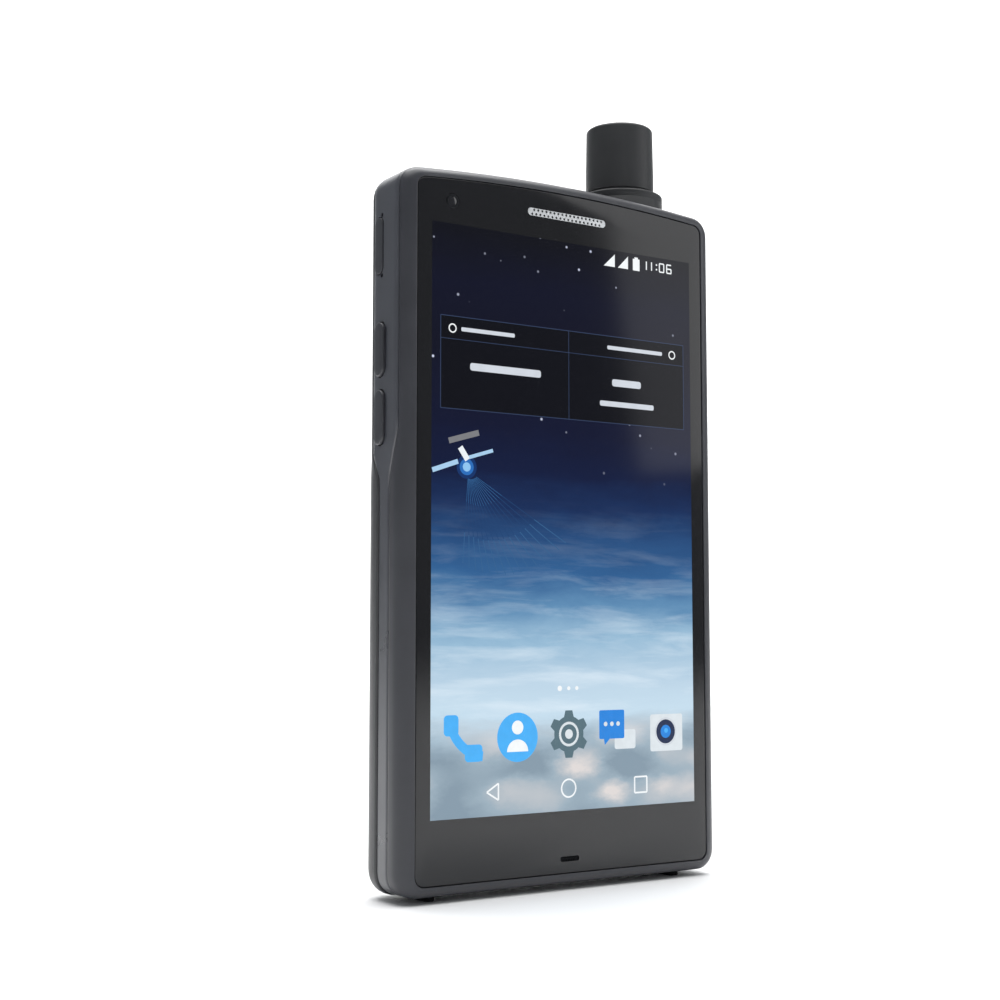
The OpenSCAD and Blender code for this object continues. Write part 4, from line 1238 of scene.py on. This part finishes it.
class PHONE_OT_antenna_cap(bpy.types.Operator):
    """Antenna cap: drafted sides, rolled top edge, shallow dish on top and a witness line at its base"""

    bl_idname = "phone.antenna_cap"
    bl_label = "Antenna cap"

    def execute(self, context):
        low, high = box_mm("antenna_cap")
        r = (high.x - low.x) / 2
        bore = (box_mm("antenna_sleeve")[1].x - box_mm("antenna_sleeve")[0].x) / 2 + 0.02
        seat = box_mm("antenna_sleeve")[1].z + 0.1
        profile = [(bore, low.z), (r - 0.22, low.z), (r - 0.1, low.z + 0.1), (r - 0.1, low.z + 0.55),
                   (r - 0.26, low.z + 0.62), (r - 0.26, low.z + 0.76), (r, low.z + 0.84), (r, low.z + 5)]
        profile += [(r - 0.16 * i / 6, low.z + 5 + (high.z - low.z - 5.8) * i / 6) for i in range(1, 7)]
        profile += arc_points(r - 0.91, high.z - 0.75, 0.75, 0, 90, 10)[1:]
        profile += [(r - 2.6, high.z - 0.02), (r - 3.1, high.z - 0.09), (2.2, high.z - 0.12),
                    (0, high.z - 0.12), (0, seat), (bore, seat)]
        cap = lathe("antenna_cap_shell", profile, (ANT.x, ANT.y, 0),
                    matt_moulded_abs("matt_moulded_abs_cap", finish("cap")), sharp=42)
        on_body(cap, "antenna", "antenna_cap", "antenna_cap")
        return {"FINISHED"}


class PHONE_OT_antenna_collar(bpy.types.Operator):
    """Collar that guides the antenna: softened rim, a fine step below it and a lead-in inside"""

    bl_idname = "phone.antenna_collar"
    bl_label = "Antenna collar"

    def execute(self, context):
        low, high = box_mm("antenna_collar")
        r = (high.x - low.x) / 2
        bore = (box_mm("antenna_bush")[1].x - box_mm("antenna_bush")[0].x) / 2 + 0.03
        profile = [(bore, low.z), (r, low.z), (r, high.z - 1.75), (r - 0.1, high.z - 1.62),
                   (r - 0.1, high.z - 1.48), (r - 0.02, high.z - 1.38), (r - 0.02, high.z - 0.4)]
        profile += arc_points(r - 0.37, high.z - 0.35, 0.35, 0, 90, 6)
        profile += [(bore + 0.25, high.z), (bore, high.z - 0.25)]
        collar = lathe("antenna_collar_ring", profile, (ANT.x, ANT.y, 0),
                       matt_moulded_abs("matt_moulded_abs_collar", toned(finish("cap"), 1.1)), sharp=42)
        on_body(collar, MOTHER, "antenna_cap", "antenna_collar")
        return {"FINISHED"}


class PHONE_OT_antenna_sleeve(bpy.types.Operator):
    """Sliding antenna tube with its moulded ribs near the foot and a rolled lower edge"""

    bl_idname = "phone.antenna_sleeve"
    bl_label = "Antenna sleeve"

    def execute(self, context):
        low, high = box_mm("antenna_sleeve")
        r = (high.x - low.x) / 2
        inner = r - 1.1
        profile = [(inner, low.z), (r - 0.3, low.z), (r, low.z + 0.3)]
        for i in range(3):
            z = low.z + 4.0 + 1.6 * i
            profile += [(r, z), (r - 0.14, z + 0.14), (r - 0.14, z + 0.5), (r, z + 0.64)]
        profile += [(r, high.z - 9.0), (r - 0.1, high.z - 8.9), (r - 0.1, high.z - 8.6), (r, high.z - 8.5),
                    (r, high.z - 0.2), (r - 0.2, high.z), (inner, high.z)]
        tube = lathe("antenna_tube", profile, (ANT.x, ANT.y, 0),
                     matt_moulded_abs("gloss_moulded_abs_sleeve", linear("#1a1b1d")), sharp=35)
        on_body(tube, "antenna", "antenna_sleeve", "antenna_sleeve")
        return {"FINISHED"}


def key_piece(name, node, material, crown, mark=None):
    """A key: its flange inside the wall, its shaft, and a crowned face with softened edges."""
    low, high = box_mm(node)
    side = 1 if high.x > 0 else -1
    centre = (low + high) / 2
    wide, long = high.y - low.y, high.z - low.z
    root = low.x if side > 0 else high.x
    face = high.x if side > 0 else low.x
    flange = prism(name + "_flange", stadium(centre.y, centre.z, long - 0.04, wide - 0.04),
                   root + side * 0.03, root + side * 0.58, material, plane="yz", bevel=0.06, steps=2)
    outline = stadium(centre.y, centre.z, long - 0.92, wide - 0.92, 14)
    edge = 0.28 if abs(face) > HALF_W + 0.4 else 0.12
    stations = [(root + side * 0.5, 0.0), (face - side * (edge + crown), 0.0)]
    stations += [(face - side * (crown + edge * (1 - math.sin(math.pi / 2 * i / 5))),
                  edge * (1 - math.cos(math.pi / 2 * i / 5))) for i in range(1, 6)]
    half = (wide - 0.92) / 2
    stations += [(face - side * crown * (1 - i / 6) ** 2, edge + (half - edge - 0.3) * i / 6)
                 for i in range(1, 7)]
    rings = [[(x, y, z) for y, z in (shrunk_stadium(outline, centre, long - 0.92, wide - 0.92, inset)
                                     if inset else outline)] for x, inset in stations]
    points, faces = ring_surface(rings, closed_ends=True)
    top = piece(name + "_face", points, faces, material, sharp=50)
    if mark:
        cut(top, mark(centre, face, side, long), sharp=50)
    return join([flange, top], name)


def shrunk_stadium(outline, centre, long, wide, inset):
    """The stadium drawn in evenly, with the same number of points."""
    steps = len(outline) // 2 - 1
    return stadium(centre.y, centre.z, long - 2 * inset, max(wide - 2 * inset, 0.1), steps)


class PHONE_OT_side_keys(bpy.types.Operator):
    """Volume up, volume down, side and power keys, each on its own body"""

    bl_idname = "phone.side_keys"
    bl_label = "Side keys"

    def execute(self, context):
        plastic = satin_moulded_polycarbonate("satin_moulded_polycarbonate_keys", linear("#2f3035"), 0.34)
        for name, node, body, crown in (
                ("volume_up_cap", "volume_up_key", "volume_up", 0.1),
                ("volume_down_cap", "volume_down_key", "volume_down", 0.1),
                ("side_cap", "side_key", "side_button", 0.03),
                ("power_cap", "power_key", "power", 0.1)):
            key = key_piece(name, node, plastic, crown)
            on_body(key, body, "key_plastic", node)
        return {"FINISHED"}


class PHONE_OT_card_tray(bpy.types.Operator):
    """Card tray: its face flush with the band, an eject hole, and a carrier with two pockets"""

    bl_idname = "phone.card_tray"
    bl_label = "Card tray"

    def execute(self, context):
        plastic = satin_moulded_polycarbonate("satin_moulded_polycarbonate_tray", linear("#303136"), 0.36)
        low, high = box_mm("sim_tray")
        centre = (low + high) / 2
        cards_low = box_mm("sim_cards")[0]
        half_plate = box_mm("tray_seal")[1].z - centre.z - 0.6
        mouth = rounded_rect(centre.y, centre.z, high.y - low.y - 0.04, high.z - low.z - 0.04, 0.85, 8)
        face = prism("tray_face", mouth, high.x - 0.78, high.x - 0.02, plastic, plane="yz", bevel=0.14,
                     steps=4)
        cut(face, [drill(0.45, -0.5, 0.9, (high.x, centre.y, centre.z + 7), "x", 24)], sharp=50)
        plate = prism("tray_plate", rounded_rect(centre.y, centre.z, 1.2, 2 * half_plate, 0.35, 4),
                      low.x + 0.02, high.x - 0.7, plastic, plane="yz", bevel=0.2, steps=3)
        tools = []
        for x in (low.x + 1.4, low.x + 12.0):
            tools.append(prism("pocket", rounded_rect(x + 4.6, centre.z, 9.2, 12.8, 0.8, 4),
                               cards_low.y - 0.02, centre.y + 1.0, None))
        cut(plate, tools, sharp=40)
        tray = join([face, plate], "card_tray_carrier")
        on_body(tray, "card_tray", "tray_plastic", "sim_tray")
        return {"FINISHED"}


class PHONE_OT_sockets(bpy.types.Operator):
    """USB-C shell with its contact tongue and pads, and the headset jack with its lipped mouth"""

    bl_idname = "phone.sockets"
    bl_label = "Sockets"

    def execute(self, context):
        steel = brushed_metal("deep_drawn_nickel_plated_shell", linear("#b4b7bb"), 0.28, "x")
        tongue_plastic = matt_moulded_abs("glass_filled_nylon_tongue", linear("#161719"))
        gold = brushed_metal("gold_plated_contacts", linear("#d8b24a"), 0.22, "z")
        low, high = box_mm("usb_c_shell")
        centre = (low + high) / 2
        w, h = high.x - low.x, high.y - low.y
        shell = prism("usb_shell", rounded_rect(centre.x, centre.y, w, h, h / 2 - 0.01, 8), high.z, low.z,
                      steel, plane="xy", bevel=0.12, steps=3)
        cut(shell, [prism("mouth", rounded_rect(centre.x, centre.y, w - 0.6, h - 0.6, h / 2 - 0.32, 8),
                          high.z - 0.3, low.z - 1, None, plane="xy")], sharp=40)
        on_body(shell, MOTHER, "shield_steel", "usb_c_shell")
        low, high = box_mm("usb_c_tongue")
        parts = [prism("tongue", rounded_rect((low.x + high.x) / 2, (low.y + high.y) / 2, high.x - low.x,
                                              high.y - low.y, 0.3, 4), high.z, low.z, tongue_plastic,
                       plane="xy", bevel=0.12, steps=2)]
        for side in (-1, 1):
            y = (low.y + high.y) / 2 + side * (high.y - low.y) / 2
            for i in range(12):
                x = -2.75 + 0.5 * i
                parts.append(prism("pad", rounded_rect(x, low.z + 2.3, 0.26, 3.6, 0.08, 2), y - side * 0.06,
                                   y - side * 0.002, gold))
        tongue = join(parts, "usb_tongue")
        on_body(tongue, MOTHER, "module_black", "usb_c_tongue")
        low, high = box_mm("headset_jack")
        centre = middle_mm("headset_jack")
        mouth_y = GLASS_Y + 7.7
        body_top = TOP - 2.9
        outline = rounded_rect(centre.x, centre.y, high.x - low.x - 0.02, high.y - low.y - 0.02, 0.4, 3)
        block = prism("jack_body", outline, low.z, body_top, tongue_plastic, plane="xy", bevel=0.2, steps=2)
        profile = [(0, body_top - 0.5), (2.98, body_top - 0.5), (2.98, high.z - 0.3), (2.7, high.z),
                   (0, high.z)]
        neck = lathe("jack_neck", profile, (centre.x, mouth_y, 0), tongue_plastic, steps=64)
        bore = [(0, low.z + 1), (1.8, low.z + 1), (1.8, high.z - 0.35), (2.1, high.z), (2.1, high.z + 2),
                (0, high.z + 2)]
        for part in (block, neck):
            cut(part, [lathe("bore", bore, (centre.x, mouth_y, 0), None, steps=48)], sharp=40)
        jack = join([block, neck], "jack")
        on_body(jack, MOTHER, "module_black", "headset_jack")
        return {"FINISHED"}


class PHONE_OT_rear_camera(bpy.types.Operator):
    """Rear camera trim with turned steps, the glass over it with its inner rings, and the flash lens"""

    bl_idname = "phone.rear_camera"
    bl_label = "Rear camera and flash"

    def execute(self, context):
        metal = brushed_metal("turned_anodised_aluminium_trim", linear("#5e6166"), 0.3, "y")
        glass = polished_lens_glass("coated_lens_glass_rear", linear("#0c0b14"))
        resin = polished_lens_glass("moulded_flash_resin", linear("#d9d2a4"))
        low, high = box_mm("rear_camera_trim")
        centre = (low + high) / 2
        r = (high.x - low.x) / 2
        profile = [(3.5, low.y), (r, low.y), (r, high.y - 0.3), (r - 0.3, high.y), (r - 0.55, high.y),
                   (4.55, high.y - 0.2), (4.28, high.y - 0.5), (4.28, low.y + 0.7), (3.5, low.y + 0.7)]
        trim = lathe("camera_trim", profile, (centre.x, 0, centre.z), metal, axis="y")
        on_body(trim, MOTHER, "trim_metal", "rear_camera_trim")
        low, high = box_mm("rear_lens_cover")
        r = (high.x - low.x) / 2
        profile = [(0, low.y), (r, low.y), (r, high.y - 0.08), (r - 0.12, high.y), (2.6, high.y),
                   (2.5, high.y - 0.12), (2.0, high.y - 0.16), (1.9, high.y - 0.3), (0, high.y - 0.22)]
        lens = lathe("camera_glass", profile, (centre.x, 0, centre.z), glass, axis="y")
        on_body(lens, MOTHER, "lens_glass", "rear_lens_cover")
        low, high = box_mm("flash_lens")
        centre = (low + high) / 2
        r = (high.x - low.x) / 2
        profile = [(0, low.y), (r, low.y), (r, high.y - 0.1), (r - 0.1, high.y)]
        for i in range(3):
            at = r - 0.35 - 0.45 * i
            profile += [(at, high.y - 0.02), (at - 0.12, high.y - 0.16), (at - 0.3, high.y - 0.05)]
        profile += [(0, high.y - 0.02)]
        flash = lathe("flash_fresnel", profile, (centre.x, 0, centre.z), resin, axis="y", sharp=25)
        on_body(flash, MOTHER, "flash_resin", "flash_lens")
        return {"FINISHED"}


class PHONE_OT_screws(bpy.types.Operator):
    """Casing screws: domed heads with a six-lobed socket, on their shanks"""

    bl_idname = "phone.screws"
    bl_label = "Casing screws"

    def execute(self, context):
        steel = brushed_metal("blackened_steel_screw", linear("#55565a"), 0.36, "x")
        low, high = box_mm("housing_screws")
        made = []
        for x, z in SCREW_PLACES:
            profile = [(0, low.y), (0.65, low.y), (0.8, low.y + 0.2), (0.8, high.y - 0.8),
                       (1.5, high.y - 0.8), (1.5, high.y - 0.32), (1.34, high.y - 0.08), (1.0, high.y),
                       (0, high.y)]
            head = lathe("screw", profile, (x, 0, z), steel, axis="y", steps=64)
            lobes = []
            for i in range(96):
                a = 2 * math.pi * i / 96
                reach = 0.56 + 0.1 * math.cos(6 * a)
                lobes.append((x + reach * math.cos(a), z + reach * math.sin(a)))
            cut(head, [prism("socket", lobes, high.y - 0.45, high.y + 1, None)], sharp=40)
            made.append(head)
        screws = join(made, "casing_screws")
        on_body(screws, MOTHER, "screw_steel", "housing_screws")
        return {"FINISHED"}


class PHONE_OT_feet(bpy.types.Operator):
    """Two rubber feet with softened edges and a ribbed sole"""

    bl_idname = "phone.feet"
    bl_label = "Feet"

    def execute(self, context):
        rubber = moulded_silicone("moulded_silicone_feet", linear("#151618"))
        low, high = box_mm("bottom_feet")
        made = []
        for side in (-1, 1):
            x = side * (high.x - 1.2)
            foot = prism("foot", rounded_rect(x, (low.y + high.y) / 2, 2.36, high.y - low.y - 0.04, 0.98, 8),
                         high.z, low.z, rubber, plane="xy", bevel=0.3, steps=4)
            ribs = [prism("rib", rounded_rect(x, low.y + 1.5 + 1.3 * i, 1.6, 0.35, 0.1, 2), low.z - 0.5,
                          low.z + 0.15, None, plane="xy") for i in range(5)]
            cut(foot, ribs, sharp=45)
            made.append(foot)
        feet = join(made, "feet")
        on_body(feet, MOTHER, "black_rubber", "bottom_feet")
        return {"FINISHED"}


class PHONE_OT_inner_finishes(bpy.types.Operator):
    """Finishes for the CAD pieces inside: boards, shields, battery, antenna parts and seals"""

    bl_idname = "phone.inner_finishes"
    bl_label = "Inner finishes"

    def execute(self, context):
        board = solder_masked_board("solder_masked_glass_epoxy_board", linear("#1f5a38"))
        tin = brushed_metal("pressed_tin_plated_shield", linear("#a9acb0"), 0.34, "x")
        gold = brushed_metal("gold_plated_spring_contact", linear("#d3ab48"), 0.24, "z")
        rubber = moulded_silicone("moulded_silicone_seal", linear("#17181a"))
        acetal = matt_moulded_abs("turned_acetal", linear("#d9d6cc"))
        black = matt_moulded_abs("glass_filled_nylon_module", linear("#18191b"))
        flex = etched_polyimide("etched_polyimide_flex", linear("#b5722a"))
        by_node = {
            "housing_gasket": rubber, "antenna_o_ring": rubber, "left_key_board": flex,
            "right_key_board": flex, "board_flex": flex,
            "glass_adhesive": moulded_silicone("acrylic_foam_tape", linear("#111214")),
            "display_panel": polished_lens_glass("laminated_liquid_crystal_panel", linear("#0d0e13")),
            "chassis_plate": cast_magnesium("thixomoulded_magnesium_plate", linear("#8d9196")),
            "earpiece_receiver": black, "front_camera_module": black, "rear_camera_module": black,
            "loudspeaker": black, "microphone": gold, "antenna_feed_contact": gold,
            "antenna_helix": brushed_metal("etched_copper_arm", linear("#c0703a"), 0.28, "z"),
            "antenna_former": matt_moulded_abs("moulded_ptfe_former", linear("#e4e2da")),
            "antenna_stop_ring": brushed_metal("turned_brass_ring", linear("#c3a356"), 0.26, "x"),
            "antenna_guide_tube": acetal, "antenna_bush": acetal,
            "antenna_coax": moulded_silicone("extruded_pvc_lead", linear("#222326")),
            "dome_switches": brushed_metal("pressed_spring_steel_dome", linear("#c4c6c8"), 0.24, "x"),
            "tray_seal": moulded_silicone("moulded_red_silicone_seal", linear("#7c2020")),
            "sim_cards": satin_moulded_polycarbonate("laminated_pvc_card", linear("#8f9bb4"), 0.32),
            "sim_socket": tin, "processor_shield": tin, "satellite_modem_shield": tin, "vibration_motor": tin,
            "main_board": board, "lower_board": board,
            "battery_pack": laminated_foil("laminated_aluminium_pouch", linear("#767a80")),
            "battery_connector": black,
            "board_screws": brushed_metal("zinc_plated_board_screw", linear("#9a9da1"), 0.3, "x")}
        for node, material in by_node.items():
            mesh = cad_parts[node].data
            mesh.materials.clear()
            mesh.materials.append(material)
        return {"FINISHED"}


# Floor, lights and camera


def area_light(name, place, aim, size, watts):
    light = bpy.data.lights.new(name, "AREA")
    light.shape = "RECTANGLE"
    light.size, light.size_y = size
    light.energy = watts
    obj = bpy.data.objects.new(name, light)
    bpy.context.scene.collection.objects.link(obj)
    obj.location = place
    obj.rotation_euler = (Vector(aim) - Vector(place)).to_track_quat("-Z", "Y").to_euler()
    return obj


class PHONE_OT_stage(bpy.types.Operator):
    """White sweep under and behind, soft studio lights, and the camera"""

    bl_idname = "phone.stage"
    bl_label = "Stage"

    def execute(self, context):
        scene = context.scene
        paint, tree, shader = start("matt_white_paper", Roughness=0.9)
        mottled(tree, shader, linear("#fcfcfc"), 60.0, 0.004, 0.9, 0.02)
        # The paper runs away from the camera, and its upright part is only a little wider than the view
        view = math.radians(33.5)
        away = Vector((math.sin(view), math.cos(view), 0))
        across = Vector((away.y, -away.x, 0))
        sweep = [(-1.6, 0.0, 2.2), (0.69, 0.0, 2.2)]
        sweep += [(0.7 + 0.5 * math.sin(math.radians(a)), 0.5 - 0.5 * math.cos(math.radians(a)), 0.9)
                  for a in range(0, 91, 6)] + [(1.2, 1.7, 0.9)]
        points, faces = [], []
        for reach, z, half in sweep:
            for side in (-1, 1):
                points.append(tuple((away * reach + across * side * half + Vector((0, 0, z))) * 1000))
        for i in range(len(sweep) - 1):
            faces.append((2 * i, 2 * i + 1, 2 * i + 3, 2 * i + 2))
        paper = piece("paper_sweep", points, faces, paint, sharp=60)
        middle = (0.0, 0.0, 0.08)
        lights = [area_light(*row) for row in (
            ("overhead_softbox", (0.0, -0.1, 1.8), middle, (2.0, 2.0), 34),
            ("right_softbox", (0.68, -0.5, 0.44), middle, (0.5, 0.56), 1.1),
            ("backdrop_light", tuple(away * 0.35 + Vector((0, 0, 1.5))),
             tuple(away * 1.2 + Vector((0, 0, 0.5))), (1.4, 0.6), 20))]
        world = bpy.data.worlds.new("studio_surround")
        scene.world = world
        world.use_nodes = True
        world.node_tree.nodes["Background"].inputs["Color"].default_value = (0.9, 0.95, 1.0, 1)
        world.node_tree.nodes["Background"].inputs["Strength"].default_value = 0.26
        scene.view_settings.view_transform = "Standard"
        lens = bpy.data.cameras.new("camera")
        lens.lens, lens.sensor_width = 57.17, 36
        camera = bpy.data.objects.new("camera", lens)
        scene.collection.objects.link(camera)
        camera.location = (-0.1885, -0.2716, 0.0507)
        camera.rotation_euler = (math.radians(94.83), 0, -view)
        lens.clip_start = 0.01
        scene.camera = camera
        return {"FINISHED"}


# Panel and registration

OPERATORS = (
    PHONE_OT_front_housing, PHONE_OT_mid_frame, PHONE_OT_rear_cover, PHONE_OT_cover_glass,
    PHONE_OT_screen_graphics, PHONE_OT_screen_satellite, PHONE_OT_sound_meshes, PHONE_OT_front_camera,
    PHONE_OT_antenna_cap, PHONE_OT_antenna_collar, PHONE_OT_antenna_sleeve, PHONE_OT_side_keys,
    PHONE_OT_card_tray, PHONE_OT_sockets, PHONE_OT_rear_camera, PHONE_OT_screws, PHONE_OT_feet,
    PHONE_OT_inner_finishes, PHONE_OT_stage)


class PHONE_PT_panel(bpy.types.Panel):
    """Sizes, finishes and the buttons that build each piece"""

    bl_idname = "PHONE_PT_panel"
    bl_label = "Satellite phone"
    bl_space_type = "VIEW_3D"
    bl_region_type = "UI"
    bl_category = "Phone"

    def draw(self, context):
        for heading, group, kind in (("Shape", context.scene.phone_shape, PhoneShape),
                                     ("Finish", context.scene.phone_finish, PhoneFinish)):
            box = self.layout.box()
            box.label(text=heading)
            for name in kind.__annotations__:
                box.prop(group, name)
        column = self.layout.column()
        for operator in OPERATORS:
            column.operator(operator.bl_idname)


CLASSES = (PhoneShape, PhoneFinish) + OPERATORS + (PHONE_PT_panel,)


def register():
    for kind in CLASSES:
        bpy.utils.register_class(kind)
    bpy.types.Scene.phone_shape = bpy.props.PointerProperty(type=PhoneShape)
    bpy.types.Scene.phone_finish = bpy.props.PointerProperty(type=PhoneFinish)


def unregister():
    del bpy.types.Scene.phone_finish
    del bpy.types.Scene.phone_shape
    for kind in reversed(CLASSES):
        bpy.utils.unregister_class(kind)


def main():
    register()
    for operator in OPERATORS:
        group, name = operator.bl_idname.split(".")
        if getattr(getattr(bpy.ops, group), name)() != {"FINISHED"}:
            raise RuntimeError(operator.bl_label + " did not finish")


if __name__ == "__main__":
    main()
